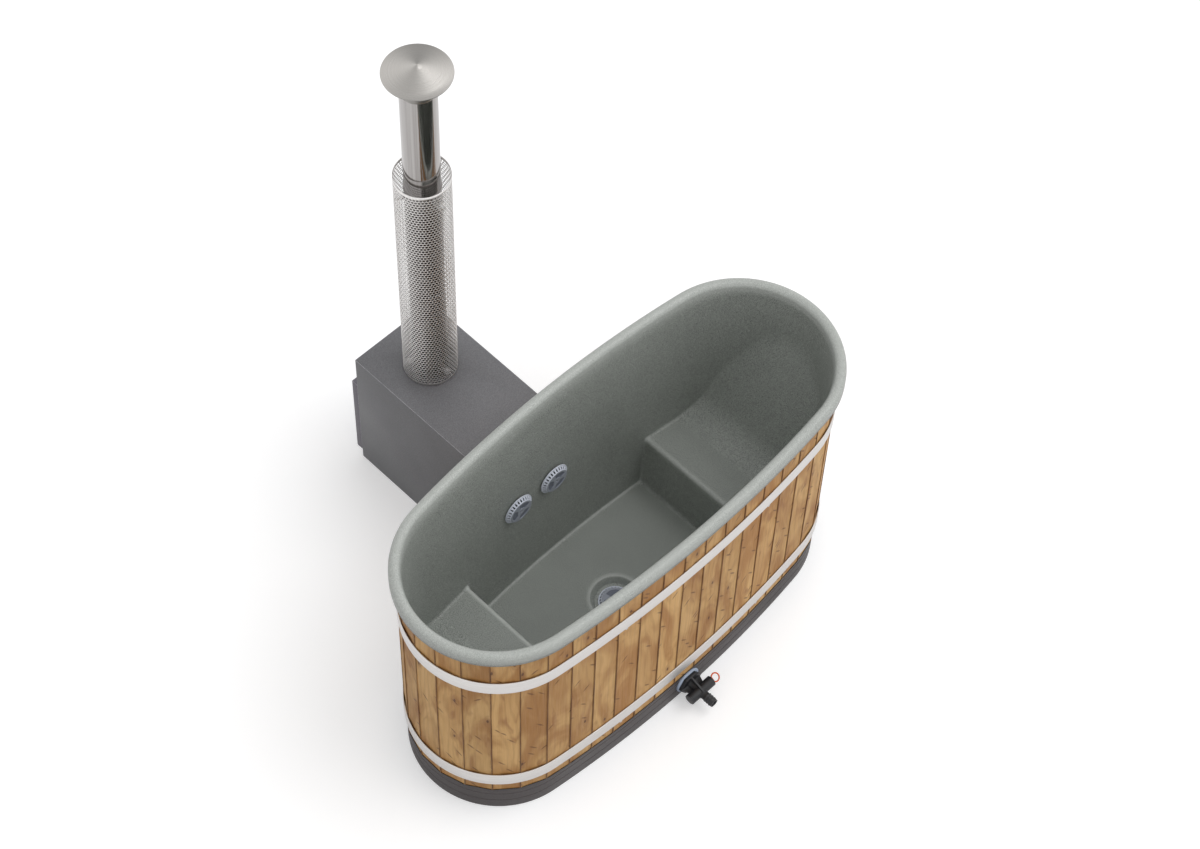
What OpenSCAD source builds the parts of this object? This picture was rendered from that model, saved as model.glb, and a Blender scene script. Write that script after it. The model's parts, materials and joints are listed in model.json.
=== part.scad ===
/* [Tub outline] */
// Length of the oval through the stave corners
tub_l = 1656; // [1380:1:1990]
// Width of the oval through the stave corners
tub_w = 676; // [620:1:820]
// Number of staves round the tub
stave_count = 45; // [36:1:60]
// Thickness of a stave
stave_t = 11; // [8:0.5:11]
// Width of the bevel on each stave corner
stave_bevel = 2; // [1:0.5:3]
// Gap between two neighbouring staves
stave_gap = 0.3; // [0.2:0.1:0.6]
// Height of the stave tops above the ground
stave_top = 1000; // [800:1:1150]

/* [Hoops] */
// Height of a hoop band
hoop_h = 60; // [30:1:80]
// Thickness of a hoop band
hoop_t = 3; // [1.5:0.5:4]
// Height of the lower hoop's bottom edge
lower_hoop_z = 175; // [150:1:300]
// Height of the upper hoop's bottom edge
upper_hoop_z = 776; // [600:1:850]
// Length of a turned-up hoop end
hoop_ear = 28; // [20:1:40]
// Radius of a hoop tension bolt
hoop_bolt_r = 4; // [3:0.5:5]

/* [Base] */
// Height of the plinth
plinth_h = 128; // [110:1:160]
// Thickness of the plinth wall
plinth_t = 20; // [14:1:30]
// How far the plinth stands in from the staves
plinth_inset = 6; // [2:0.5:8]
// Thickness of the floor deck
deck_t = 18; // [12:1:24]
// Width of a deck bearer
bearer_w = 45; // [30:1:60]
// Thickness of a seat support board
support_t = 30; // [18:1:40]

/* [Liner] */
// Wall thickness of the liner
liner_t = 5; // [4:0.5:6]
// Radius of the rolled rim, which is also its overhang
rim_r = 20; // [18:0.5:22]
// Length of the rim's skirt below the roll's centre
rim_skirt = 21; // [10:1:30]
// Slope of the liner's walls from upright
draft = 2.65; // [1:0.05:3]
// Height of the footwell floor above the plinth's top
floor_up = 47; // [44:1:60]
// Height of the seats
seat_z = 400; // [350:1:450]
// Half length of the footwell at its floor
foot_half = 381; // [300:1:420]
// Half length of the footwell at seat height
foot_half_top = 401; // [310:1:440]
// Radius of the hollow between seat and backrest
back_r = 130; // [110:1:160]
// Half distance between the centres of those hollows
back_x = 530; // [490:1:540]
// Slope of a backrest from upright
back_lean = 24; // [18:0.5:26]
// Radius of the drain recess at the floor
recess_r = 83; // [75:1:95]
// Radius of the drain recess at its bottom
recess_bottom_r = 68; // [62:1:72]
// Depth of the drain recess
recess_depth = 23; // [15:1:25]

/* [Water fittings] */
// Radius of a grille's base ring
grille_r = 57; // [50:1:60]
// Height of a grille above its base
grille_h = 15; // [10:1:20]
// Number of slots round a grille
slot_count = 28; // [12:1:30]
// Radius of a fitting's flange
flange_r = 48; // [40:1:49]
// Outer radius of a wall fitting's tail
tail_r = 24; // [18:0.5:28]
// Bore radius of a wall fitting
tail_bore_r = 20; // [14:0.5:22]
// Height of the two wall fittings
fitting_z = 573; // [540:1:640]
// Place of the cold fitting along the tub
cold_x = -160; // [-200:1:-120]
// Place of the hot fitting along the tub
hot_x = 0; // [-20:1:60]
// Wall thickness of a water pipe
pipe_t = 6; // [4:0.5:8]
// Bend radius of a water pipe's centre line
pipe_bend = 45; // [40:1:50]

/* [Drain and valve] */
// Outer radius of the drain tail
drain_tail_r = 20; // [16:0.5:22]
// Bore radius of the drain
drain_bore_r = 15; // [10:0.5:16]
// Wall thickness of the drain pipe
drain_pipe_t = 4; // [3:0.5:5]
// Height of the valve's axis
valve_z = 62; // [52:1:66]
// Radius of the valve's gasket
valve_gasket_r = 48.8; // [44:0.1:50]
// Length of the valve's crosswise barrel
barrel_l = 103; // [90:1:120]
// Radius of the crosswise barrel
barrel_r = 18.5; // [17:0.5:22]
// Radius of the valve spool
spool_r = 12; // [11.5:0.1:13]
// Travel of the valve spool
spool_travel = 22; // [15:1:24]
// Radius of the hose barb between its ribs
barb_r = 15; // [13:0.5:17]
// Outer radius of the pull ring
ring_r = 17; // [14:0.5:20]

/* [Heater] */
// Width of the heater casing
heater_w = 337; // [320:1:420]
// Depth of the heater casing
heater_d = 570; // [500:1:700]
// Height of the heater casing
heater_h = 578; // [540:1:620]
// Gap between the stave corners and the heater
heater_gap = 161; // [160:1:200]
// Place of the heater's middle along the tub
heater_x = 19; // [0:1:40]
// Thickness of the casing sheet
casing_t = 2; // [1:0.5:3]
// Thickness of the water jacket sheet
jacket_t = 3; // [2:0.5:4]
// Width of the fire chamber inside
fire_w = 220; // [180:1:240]
// Height of the fire chamber inside
fire_h = 400; // [300:1:410]

/* [Door] */
// Height of the door plate
door_h = 388; // [360:1:420]
// Height of the door's bottom edge above the ground
door_z = 43; // [35:1:60]
// Thickness of the door plate
door_t = 25.5; // [20:0.5:30]
// Radius of the hinge pins
pin_r = 4; // [3:0.5:5]
// Length of the latch handle
handle_l = 110; // [80:1:130]
// Travel of the air slide
air_travel = 20; // [14:1:20]

/* [Chimney] */
// Outer radius of the flue pipe
flue_r = 57.5; // [50:0.5:62]
// Wall thickness of the flue pipe
flue_t = 1.2; // [1:0.1:2]
// Distance from the heater's door end to the flue's axis
flue_inset = 181; // [150:1:220]
// Outer radius of the perforated guard
guard_r = 89.5; // [84:0.5:100]
// Height of the guard's top
guard_top = 1570; // [1200:1:1600]
// Height of the shoulder where the lower pipe narrows
swage_z = 1521; // [1150:1:1550]
// Height of the upper pipe's bottom end
upper_flue_z = 1605; // [1580:1:1620]
// Height of the upper pipe's top end
flue_top = 1995; // [1900:1:2200]
// Radius of the rain cap
cap_r = 106.4; // [90:0.1:130]
// Height of the rain cap's cone
cap_h = 33; // [20:1:50]
// Gap between the pipe's top and the cap's edge
cap_gap = 43; // [30:1:60]

/* [Hidden] */
// Side and end arcs join on a line that goes 15 along the tub for every 112 across it
join_x = 15;
join_y = 112;
join_r = norm([join_x, join_y]);
curve = round(100 * (tub_l - tub_w) / (2 * (join_r - join_y + join_x - 2))) / 100;
half_w = tub_w / 2;
end_r = half_w - (join_r - join_y) * curve;
end_cx = join_x * curve;
side_r = end_r + join_r * curve;
half_l = end_cx + end_r;
side_a = atan(join_x / join_y);
end_len = end_r * (90 - side_a) * PI / 180;
side_len = side_r * 2 * side_a * PI / 180;
oval_len = 4 * end_len + 2 * side_len;
pitch = oval_len / stave_count;
first_stave = [round(end_len / pitch), round((end_len + side_len) / pitch),
               round((3 * end_len + side_len) / pitch), round((3 * end_len + 2 * side_len) / pitch)];
tongue_from = stave_t * 0.36;
tongue_to = stave_t * 0.64;
tongue_l = 4;

rim_z = stave_top - 4;
stave_sag = pitch * pitch / (8 * end_r);
rim_in = round(100 * max(0, stave_t + stave_sag + liner_t + 0.6 - rim_r)) / 100;
floor_z = plinth_h + floor_up;
seat_gap = 0.3;
fit = 0.05;
foot_lean = (foot_half_top - foot_half) / (seat_z - floor_z);
recess_z = floor_z - recess_depth;
gasket_t = 1.5;
wall_seat = 4;
wedge_gasket_r = flange_r - 2;
nut_t = 10;
valve_nut_w = 62;
hex_factor = 2 / sqrt(3);

hole_clear = 0.5;
tail_out = 40;
pipe_r = tail_r + fit + pipe_t;
pipe_bore_r = tail_r + fit;
pipe_start = 14;
pipe_end_gap = 4;
clamp_w = 12;
clamp_t = 1.2;

heater_y = half_w + heater_gap;
front_y = heater_y + heater_d;
flue_y = front_y - flue_inset;
casing_gap = 8;
jacket_w = heater_w - 2 * (casing_t + casing_gap);
jacket_y = heater_y + casing_t + casing_gap;
jacket_front = front_y - casing_t - casing_gap;
jacket_z = 60;
jacket_top = heater_h - 18;
fire_y = jacket_y + 35;
fire_z = 95;
fire_t = 4;
cold_port = [heater_x - 119, 150];
hot_port = [hot_x, 460];

open_w = heater_w - 49;
open_z = door_z + 19;
open_h = door_h - 38;
door_back = front_y + 0.5;
door_front = door_back + door_t;
door_sheet = 3;
hinge_x = heater_x + heater_w / 2 + 10;
hinge_y = door_back + door_t / 2;
hinge_r = 7;
sleeve_h = 24;
hinge_heights = [door_z + 70, door_z + door_h - 110];
spindle_x = heater_x - open_w / 2 + 14;
spindle_z = door_z + door_h / 2 + 3;
spindle_r = 5;
cam_l = 30;
air_z = door_z + 45;
air_x = heater_x + 20;
slot_w = 20;
slot_h = 24;

neck_r = flue_r - flue_t - fit;
spacer_w = 18;
cap_z = flue_top + cap_gap;
plinth_face = half_w - plinth_inset;
valve_w = [8, 20, 59.3, 78, 124];
valve_bore_r = barb_r - 4;
barrel_from = 3 - barrel_l / 2;
barrel_to = 3 + barrel_l / 2;
spool_from = barrel_from + 8.5;
spool_gate = valve_bore_r + 3;
spool_to = barrel_to + 2;
seal_places = [spool_from + 3, spool_gate, spool_gate + 17];
ring_wire = 2.5;
ring_turn = 34;
stem_r = 5;
stem_l = 12;

ear_a = -4;
ear_half = 14;
screw_places = [first_stave[0] + 2 + 2 / 3, first_stave[1] - 3 - 1 / 3,
                first_stave[2] + 3 + 1 / 3, first_stave[3] - 3 + 1 / 3];
screw_r = 2;
screw_head_r = 4.5;

$fn = 64;

// Centre, radius and direction of the oval at a distance s along it from its +X end
function oval_frame(s) =
    let (u = s - oval_len * floor(s / oval_len),
         a = 180 / PI)
    u < end_len ? [end_cx, 0, end_r, a * u / end_r]
    : u < end_len + side_len
    ? [0, half_w - side_r, side_r, 90 - side_a + a * (u - end_len) / side_r]
    : u < 3 * end_len + side_len
    ? [-end_cx, 0, end_r, 90 + side_a + a * (u - end_len - side_len) / end_r]
    : u < 3 * end_len + 2 * side_len
    ? [0, side_r - half_w, side_r, 270 - side_a + a * (u - 3 * end_len - side_len) / side_r]
    : [end_cx, 0, end_r, 270 + side_a + a * (u - 3 * end_len - 2 * side_len) / end_r];

// Outward direction of the oval at s
function outward(s) = let (f = oval_frame(s)) [cos(f[3]), sin(f[3])];

// Point at distance s along the oval, moved outwards by d
function oval_point(s, d) =
    let (f = oval_frame(s))
    [f[0] + (f[2] + d) * cos(f[3]), f[1] + (f[2] + d) * sin(f[3])];

// Half width of the oval at x, moved inwards by d
function half_width(x, d) =
    abs(x) < end_cx + (end_r - d) * sin(side_a)
    ? half_w - side_r + sqrt(pow(side_r - d, 2) - x * x)
    : sqrt(max(0, pow(end_r - d, 2) - pow(abs(x) - end_cx, 2)));

// How far the liner's inner wall stands in from the oval at height z
function wall_in(z) = round(100 * (rim_r + rim_in + (rim_z - z) * tan(draft))) / 100;

// The part of the plan beyond the +Y side's arc joints, or beyond its half of the middle
module side_wedge(z0, z1, from_middle) {
    far = curve + ceil(curve / 5);
    translate([0, 0, z0]) linear_extrude(height = z1 - z0)
        polygon(concat(from_middle ? [[-end_cx, 0], [end_cx, 0]] : [[0, -join_y * curve]],
                       [[join_x * far, join_y * (far - curve)], [-join_x * far, join_y * (far - curve)]]));
}

// The part of the plan beyond the +X end's arc joints
module end_wedge(z0, z1) {
    far = curve + ceil(curve / 5);
    out = half_l + 100;
    far_y = join_y * (far - curve);
    translate([0, 0, z0]) linear_extrude(height = z1 - z0)
        polygon([[end_cx, 0], [join_x * far, -far_y], [out, -far_y], [out, far_y], [join_x * far, far_y]]);
}

// A flat outline of offset and height, carried round the oval between heights z0 and z1
module round_oval(z0, z1) {
    for (side = [0, 180]) rotate([0, 0, side]) {
        intersection() {
            translate([0, -join_y * curve, 0])
                rotate_extrude($fn = 720) translate([side_r, 0]) children();
            side_wedge(z0 - 1, z1 + 1, false);
        }
        intersection() {
            translate([end_cx, 0, 0])
                rotate_extrude($fn = 160) translate([end_r, 0]) children();
            end_wedge(z0 - 1, z1 + 1);
        }
    }
}

// A solid oval from z0 to z1, standing in by d0 at the bottom and d1 at the top
module oval_solid(z0, z1, d0, d1) {
    for (side = [0, 180]) rotate([0, 0, side]) {
        intersection() {
            translate([0, -join_y * curve, z0])
                cylinder(h = z1 - z0, r1 = side_r - d0, r2 = side_r - d1, $fn = 720);
            side_wedge(z0 - 1, z1 + 1, true);
        }
        intersection() {
            translate([end_cx, 0, z0])
                cylinder(h = z1 - z0, r1 = end_r - d0, r2 = end_r - d1, $fn = 160);
            end_wedge(z0 - 1, z1 + 1);
        }
    }
}

module tube(r, bore, h) {
    difference() {
        cylinder(h = h, r = r);
        translate([0, 0, -1]) cylinder(h = h + 2, r = bore);
    }
}

// A cylinder or tube along +Y
module along_y(r, h, bore = 0) {
    rotate([-90, 0, 0]) {
        if (bore > 0) tube(r, bore, h);
        else cylinder(h = h, r = r);
    }
}

// A cylinder or tube along +X
module along_x(r, h, bore = 0) {
    rotate([0, 90, 0]) {
        if (bore > 0) tube(r, bore, h);
        else cylinder(h = h, r = r);
    }
}

// A hexagonal nut, measured across its flats
module nut(flats, bore, h) {
    difference() {
        cylinder(h = h, r = flats / 2 * hex_factor, $fn = 6);
        translate([0, 0, -1]) cylinder(h = h + 2, r = bore);
    }
}

// ---- Liner ----

// Lengthwise outline of the tub's inside, grown outwards by t
function inside_half(t) =
    let (corner = 90 - back_lean,
         line_x = back_x + (back_r + t) * sin(corner),
         line_z = seat_z + back_r - (back_r + t) * cos(corner),
         top_z = rim_z + 60)
    concat([[foot_half + t, floor_z - t],
            [foot_half_top + t - foot_lean * t, seat_z - t]],
           [for (i = [0:12]) let (a = corner * i / 12)
               [back_x + (back_r + t) * sin(a), seat_z + back_r - (back_r + t) * cos(a)]],
           [[line_x + (top_z - line_z) * tan(back_lean), top_z]]);

module inside_outline(t) {
    right = inside_half(t);
    last = len(right) - 1;
    rotate([90, 0, 0]) linear_extrude(height = tub_w, center = true)
        polygon(concat(right, [for (i = [last:-1:0]) [-right[i][0], right[i][1]]]));
}

module liner_shell() {
    difference() {
        union() {
            intersection() {
                oval_solid(floor_z - liner_t, rim_z,
                           wall_in(floor_z - liner_t) - liner_t, wall_in(rim_z) - liner_t);
                inside_outline(liner_t);
            }
            translate([0, 0, recess_z - liner_t])
                cylinder(h = recess_depth, r1 = recess_bottom_r + liner_t, r2 = recess_r + liner_t);
        }
        intersection() {
            oval_solid(floor_z, rim_z + rim_r, wall_in(floor_z), wall_in(rim_z + rim_r));
            inside_outline(0);
        }
        translate([0, 0, recess_z])
            cylinder(h = recess_depth + 0.01, r1 = recess_bottom_r, r2 = recess_r);
        translate([0, 0, recess_z - liner_t - 1])
            cylinder(h = liner_t + 2, r = drain_tail_r + hole_clear);
        for (x = [cold_x, hot_x])
            translate([x, half_w / 2, fitting_z]) along_y(tail_r + hole_clear, half_w);
    }
}

module liner() {
    roll_in = rim_r - liner_t;
    color("#7f8481") union() {
        liner_shell();
        round_oval(rim_z, rim_z + rim_r) difference() {
            translate([-rim_in, rim_z]) circle(r = rim_r);
            translate([-rim_in, rim_z]) circle(r = roll_in);
            translate([-3 * rim_r, rim_z - 2 * rim_r]) square([6 * rim_r, 2 * rim_r]);
        }
        round_oval(rim_z - rim_skirt, rim_z)
            translate([roll_in - rim_in, rim_z - rim_skirt]) square([liner_t, rim_skirt]);
    }
}

// ---- Staves ----

module stave(k) {
    s0 = k * pitch;
    s1 = (k + 1) * pitch;
    n0 = outward(s0);
    n1 = outward(s1);
    e0 = [-n0[1], n0[0]];
    e1 = [-n1[1], n1[0]];
    a = oval_point(s0, 0) + e0 * stave_gap / 2;
    b = oval_point(s1, 0) - e1 * stave_gap / 2;
    along = (b - a) / norm(b - a);
    face = [along[1], -along[0]];
    depth0 = stave_t / (n0 * face);
    depth1 = stave_t / (n1 * face);
    play = 0.15;
    translate([0, 0, plinth_h]) linear_extrude(height = stave_top - plinth_h)
        polygon([a + along * stave_bevel,
                 b - along * stave_bevel,
                 b - n1 * stave_bevel,
                 b - n1 * tongue_from,
                 b - n1 * (tongue_from + play) + e1 * tongue_l,
                 b - n1 * (tongue_to - play) + e1 * tongue_l,
                 b - n1 * tongue_to,
                 b - n1 * depth1,
                 a - n0 * depth0,
                 a - n0 * (tongue_to + play),
                 a - n0 * (tongue_to + play) + e0 * (tongue_l + play),
                 a - n0 * (tongue_from - play) + e0 * (tongue_l + play),
                 a - n0 * (tongue_from - play),
                 a - n0 * stave_bevel]);
}

// Staves first to last, drilled for the support screws and the wall fittings
module stave_wall(first, last, drilled_heights) {
    difference() {
        for (k = [first:last]) stave(k);
        for (place = drilled_heights[0]) for (z = hoop_screw_heights())
            at_oval(place * pitch, z) translate([-stave_t * 0.8, 0, 0]) along_x(screw_r, stave_t);
        for (x = drilled_heights[1])
            translate([x, half_w - 3 * stave_t, fitting_z])
                along_y(tail_r + 2, 4 * stave_t);
    }
}

function hoop_screw_heights() = [lower_hoop_z - screw_head_r, upper_hoop_z - screw_head_r];

// Puts +X outwards at a place on the stave faces
module at_oval(s, z) {
    k = floor(s / pitch);
    a = oval_point(k * pitch, 0);
    b = oval_point((k + 1) * pitch, 0);
    share = s / pitch - k;
    p = a + (b - a) * share;
    translate([p[0], p[1], z]) rotate([0, 0, atan2(b[1] - a[1], b[0] - a[0]) - 90]) children();
}

module staves_heater_side() {
    color("#b18a5b") stave_wall(first_stave[0], first_stave[1] - 1,
                                [[screw_places[0], screw_places[1]], [cold_x, hot_x]]);
}

module staves_step_end() {
    color("#a98254") stave_wall(first_stave[1], first_stave[2] - 1, [[], []]);
}

module staves_valve_side() {
    color("#b48f60") stave_wall(first_stave[2], first_stave[3] - 1,
                                [[screw_places[2], screw_places[3]], []]);
}

module staves_seat_end() {
    color("#ad8658") stave_wall(first_stave[3], first_stave[0] + stave_count - 1, [[], []]);
}

// ---- Hoops ----

// Places children on the oval's heater side, +Y outwards, turned by a from the middle
module on_side(a) {
    translate([0, half_w - side_r, 0]) rotate([0, 0, a]) translate([0, side_r, 0]) children();
}

module hoop(z) {
    ear_y = 0.6 * hoop_ear;
    ear_in = 4;
    difference() {
        union() {
            round_oval(z, z + hoop_h) translate([0, z]) square([hoop_t, hoop_h]);
            on_side(ear_a) translate([-ear_half, hoop_t * 0.4, z + ear_in])
                cube([2 * ear_half, hoop_ear - hoop_t * 0.4, hoop_h - 2 * ear_in]);
        }
        on_side(ear_a) {
            translate([hoop_t - ear_half, -hoop_ear, z - 1])
                cube([2 * (ear_half - hoop_t), 3 * hoop_ear, hoop_h + 2]);
            translate([-ear_half - 1, ear_y, z + hoop_h / 2])
                along_x(hoop_bolt_r + fit, 2 * ear_half + 2);
        }
    }
}

module upper_hoop() { color("#d9d6d4") hoop(upper_hoop_z); }

module lower_hoop() { color("#d9d6d4") hoop(lower_hoop_z); }

module on_hoop_ears() {
    for (z = [lower_hoop_z, upper_hoop_z])
        on_side(ear_a) translate([0, hoop_ear * 0.6, z + hoop_h / 2]) children();
}

module hoop_bolts() {
    head_h = 5.5;
    shank = 2 * ear_half + 16;
    color("#c8c8c8") on_hoop_ears() {
        translate([-ear_half - head_h, 0, 0]) rotate([0, 90, 0])
            cylinder(h = head_h, r = hoop_bolt_r * 1.62 * hex_factor, $fn = 6);
        translate([-ear_half - 0.5, 0, 0]) along_x(hoop_bolt_r, shank + 0.5);
    }
}

module hoop_nuts() {
    color("#c8c8c8") on_hoop_ears()
        translate([ear_half, 0, 0]) rotate([0, 90, 0])
            nut(hoop_bolt_r * 3.24, hoop_bolt_r + fit, 6.5);
}

module hoop_support_screws() {
    head_t = 3;
    color("#dfe3e8") for (place = screw_places) for (z = hoop_screw_heights())
        at_oval(place * pitch, z) {
            along_x(screw_head_r, head_t);
            translate([-stave_t * 0.8, 0, 0]) along_x(screw_r, stave_t * 0.8 + 0.5);
        }
}

// ---- Base ----

module plinth() {
    groove = 1;
    outer = -plinth_inset;
    inner = -plinth_inset - plinth_t;
    color("#4b4444") difference() {
        round_oval(0, plinth_h) polygon(concat(
            [[inner, 0], [outer, 0]],
            [for (share = [1 / 3, 2 / 3], step = [[0, -2], [-groove, 0], [0, 2]])
                [outer + step[0], plinth_h * share + step[1]]],
            [[outer, plinth_h], [inner, plinth_h]]));
        translate([0, -half_w - 1, valve_z]) along_y(drain_tail_r + hole_clear, half_w / 2);
    }
}

module floor_deck() {
    in = plinth_inset + plinth_t + seat_gap;
    color("#c9a87a") difference() {
        oval_solid(plinth_h - deck_t, plinth_h, in, in);
        translate([0, 0, plinth_h - deck_t - 1]) cylinder(h = deck_t + 2, r = 42);
    }
}

module deck_bearers() {
    in = plinth_inset + plinth_t + seat_gap;
    h = plinth_h - deck_t;
    notch_r = drain_tail_r + fit + drain_pipe_t + seat_gap;
    nut_room = valve_nut_w / 2 * hex_factor + 1;
    spread = half_l * 0.66;
    color("#b9986c") for (i = [-2:2]) {
        x = spread * i / 2;
        reach = half_width(abs(x) + bearer_w / 2, in);
        difference() {
            translate([x - bearer_w / 2, -reach, 0]) cube([bearer_w, 2 * reach, h]);
            if (i == 0) translate([-bearer_w, -half_w, valve_z - notch_r])
                cube([2 * bearer_w, half_w + notch_r + 20, h]);
            if (i == 0) translate([-bearer_w, -half_w, valve_z - nut_room])
                cube([2 * bearer_w, in + nut_t + 3 * seat_gap + 1, h]);
        }
    }
}

module floor_insulation() {
    edge = wall_in(floor_z) + 4;
    color("#e9e6dc") difference() {
        intersection() {
            oval_solid(plinth_h, floor_z - liner_t, edge, edge);
            translate([-foot_half, -half_w, 0]) cube([2 * foot_half, tub_w, floor_z]);
        }
        translate([0, 0, plinth_h - 1])
            cylinder(h = floor_z, r = recess_r + liner_t + 3);
    }
}

module seat_supports() {
    h = seat_z - liner_t - plinth_h;
    color("#c2a274") for (side = [-1, 1], x = [foot_half_top + 30, back_x - 15]) {
        reach = half_width(x + support_t, wall_in(seat_z) + 8);
        translate([side * x - support_t / 2, -reach, plinth_h]) cube([support_t, 2 * reach, h]);
    }
}

// ---- Grilles and their fittings, drawn standing on their base ----

module grille() {
    base_t = 4;
    face_r = grille_r * 0.79;
    shoulder_r = grille_r * 0.95;
    cone_top = grille_h - 2;
    color("#7d7f8c") difference() {
        union() {
            cylinder(h = base_t, r = grille_r);
            translate([0, 0, base_t]) cylinder(h = cone_top - base_t, r1 = shoulder_r, r2 = face_r + 1);
            translate([0, 0, cone_top]) cylinder(h = grille_h - cone_top, r = face_r);
        }
        translate([0, 0, -1]) cylinder(h = base_t + 1.01, r = flange_r + 2);
        difference() {
            translate([0, 0, base_t]) cylinder(h = cone_top - base_t - 2, r1 = shoulder_r - 4, r2 = face_r - 2);
            cylinder(h = cone_top, r = 8);
        }
        for (i = [0:slot_count - 1]) rotate([0, 0, 360 * (i + 0.5) / slot_count])
            translate([face_r - 1, -1.75, base_t + 1]) cube([grille_r, 3.5, cone_top - base_t - 2]);
        for (i = [0:2]) rotate([0, 0, 120 * i + 18])
            translate([0, 0, grille_h - 1.5]) rotate_extrude(angle = 84)
                translate([face_r * 0.34, 0]) square([face_r * 0.5, 3]);
        translate([0, 0, -1]) cylinder(h = grille_h + 2, r = 2.5);
        translate([0, 0, grille_h - 3]) cylinder(h = 4, r = 4.5);
    }
}

// Flange, tail and screw boss of a fitting; the tail points down
module fitting_body(r, bore, tail) {
    flange_t = 3.5;
    boss_r = 6;
    arm_w = 3;
    difference() {
        union() {
            rotate_extrude() polygon([[bore, -tail], [r, -tail], [r, 0], [flange_r, 0],
                                      [flange_r, flange_t], [bore, flange_t]]);
            for (a = [0:120:240]) rotate([0, 0, a]) translate([boss_r / 2, -arm_w / 2, -1])
                cube([bore - boss_r / 2 + 1, arm_w, flange_t]);
            translate([0, 0, -1.5]) cylinder(h = flange_t + 0.5, r = boss_r);
        }
        translate([0, 0, -2]) cylinder(h = flange_t + 4, r = 2);
    }
}

module grille_screw() {
    color("#9a9aa2") {
        translate([0, 0, grille_h - 3]) cylinder(h = 2, r = 4);
        cylinder(h = grille_h - 2, r = 1.95);
    }
}

// ---- Drain ----

module drain_grille() { translate([0, 0, recess_z + seat_gap]) grille(); }

module drain_body() {
    color("#5f6068") translate([0, 0, recess_z + gasket_t])
        fitting_body(drain_tail_r, drain_bore_r, recess_z + gasket_t - 95);
}

module drain_gasket() {
    color("#303030") translate([0, 0, recess_z]) tube(flange_r - 3, drain_tail_r + 1, gasket_t);
}

module drain_nut() {
    color("#5f6068") translate([0, 0, recess_z - liner_t - nut_t])
        nut(60, drain_tail_r + fit, nut_t);
}

module drain_screw() { translate([0, 0, recess_z + seat_gap]) grille_screw(); }

// A bent tube from straight up to straight along -Y, its bend's inner corner at the origin
module drain_bend(r, bore, bend) {
    translate([0, -bend, bend]) rotate([0, 90, 0])
        rotate_extrude(angle = 90) translate([bend, 0]) difference() {
            circle(r = r);
            circle(r = bore);
        }
}

module drain_pipe() {
    bore = drain_tail_r + fit;
    r = bore + drain_pipe_t;
    bend = 95 - valve_z;
    color("#8c8f92") {
        translate([0, 0, 95]) tube(r, bore, 30);
        translate([0, 0, valve_z]) drain_bend(r, bore, bend);
        translate([0, -plinth_face + plinth_t + 24, valve_z])
            along_y(r, plinth_face - plinth_t - 24 - bend, bore);
    }
}

// ---- Drain valve, drawn with its axis along +Z and the plinth's face at 0 ----

module at_valve() {
    translate([0, -plinth_face, valve_z]) rotate([90, 0, 0]) children();
}

module valve_gasket() {
    color("#a9b4c6") at_valve() difference() {
        union() {
            cylinder(h = valve_w[0] - 3, r = valve_gasket_r);
            translate([0, 0, valve_w[0] - 3])
                cylinder(h = 3, r1 = valve_gasket_r, r2 = valve_gasket_r - 2.5);
        }
        translate([0, 0, -1]) cylinder(h = valve_w[0] + 2, r = drain_tail_r + fit);
    }
}

module valve_nut() {
    color("#2c2a29") at_valve() translate([0, 0, -plinth_t - seat_gap - nut_t])
        nut(valve_nut_w, drain_tail_r + fit, nut_t);
}

module valve_body() {
    flange_w = valve_w[0];
    flange_end = valve_w[1];
    axis_w = valve_w[2];
    barb_from = valve_w[3];
    barb_to = valve_w[4];
    core_r = barb_r + 2;
    rib_r = barb_r + 2.3;
    rib_l = (barb_to - barb_from - 16) / 3;
    web_t = 6;
    color("#2c2a29") at_valve() difference() {
        union() {
            translate([0, 0, -plinth_t - 42]) cylinder(h = plinth_t + 42 + flange_w, r = drain_tail_r);
            translate([0, 0, flange_w]) cylinder(h = flange_end - flange_w, r = 46, $fn = 6);
            translate([0, 0, flange_w]) cylinder(h = barb_from - flange_w, r = core_r);
            translate([barrel_from + 4, 0, axis_w]) along_x(barrel_r, barrel_l - 4);
            for (a = [0:90:270]) rotate([0, 0, a])
                rotate([90, 0, 0]) translate([0, 0, -web_t / 2]) linear_extrude(height = web_t)
                    polygon([[0, flange_end - 1], [38, flange_end - 1], [38, flange_end + 4],
                             [core_r + 1, barb_from], [0, barb_from]]);
            translate([0, 0, barb_from - 1]) cylinder(h = barb_to - barb_from + 1, r = barb_r);
            for (i = [0:2]) translate([0, 0, barb_from + 14 + rib_l * i])
                cylinder(h = rib_l - 3, r1 = rib_r, r2 = barb_r);
        }
        translate([0, 0, -plinth_t - 43]) cylinder(h = barb_to + plinth_t + 45, r = valve_bore_r);
        translate([-barrel_l, 0, axis_w]) along_x(spool_r + fit, 2 * barrel_l);
    }
}

module valve_end_cap() {
    color("#383635") at_valve() translate([barrel_from, 0, valve_w[2]]) {
        along_x(barrel_r, 4);
        along_x(spool_r - 1, 8);
    }
}

module valve_spool() {
    color("#1f1f1f") at_valve() translate([0, 0, valve_w[2]]) difference() {
        union() {
            translate([spool_from, 0, 0]) along_x(spool_r, 8);
            translate([spool_from + 7, 0, 0]) along_x(5, -spool_gate - spool_from - 6);
            translate([-spool_gate, 0, 0]) along_x(spool_r, spool_gate + spool_to);
        }
        for (x = seal_places) translate([x, 0, 0]) along_x(spool_r + 2, 2.6, spool_r - 2);
        translate([spool_to - stem_l - 1, 0, 0]) along_x(stem_r + fit, stem_l + 2);
    }
}

module spool_seals() {
    color("#101010") at_valve() translate([0, 0, valve_w[2]])
        for (x = seal_places) translate([x + 0.1, 0, 0]) along_x(spool_r + fit / 2, 2.4, spool_r - 1.9);
}

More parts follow.
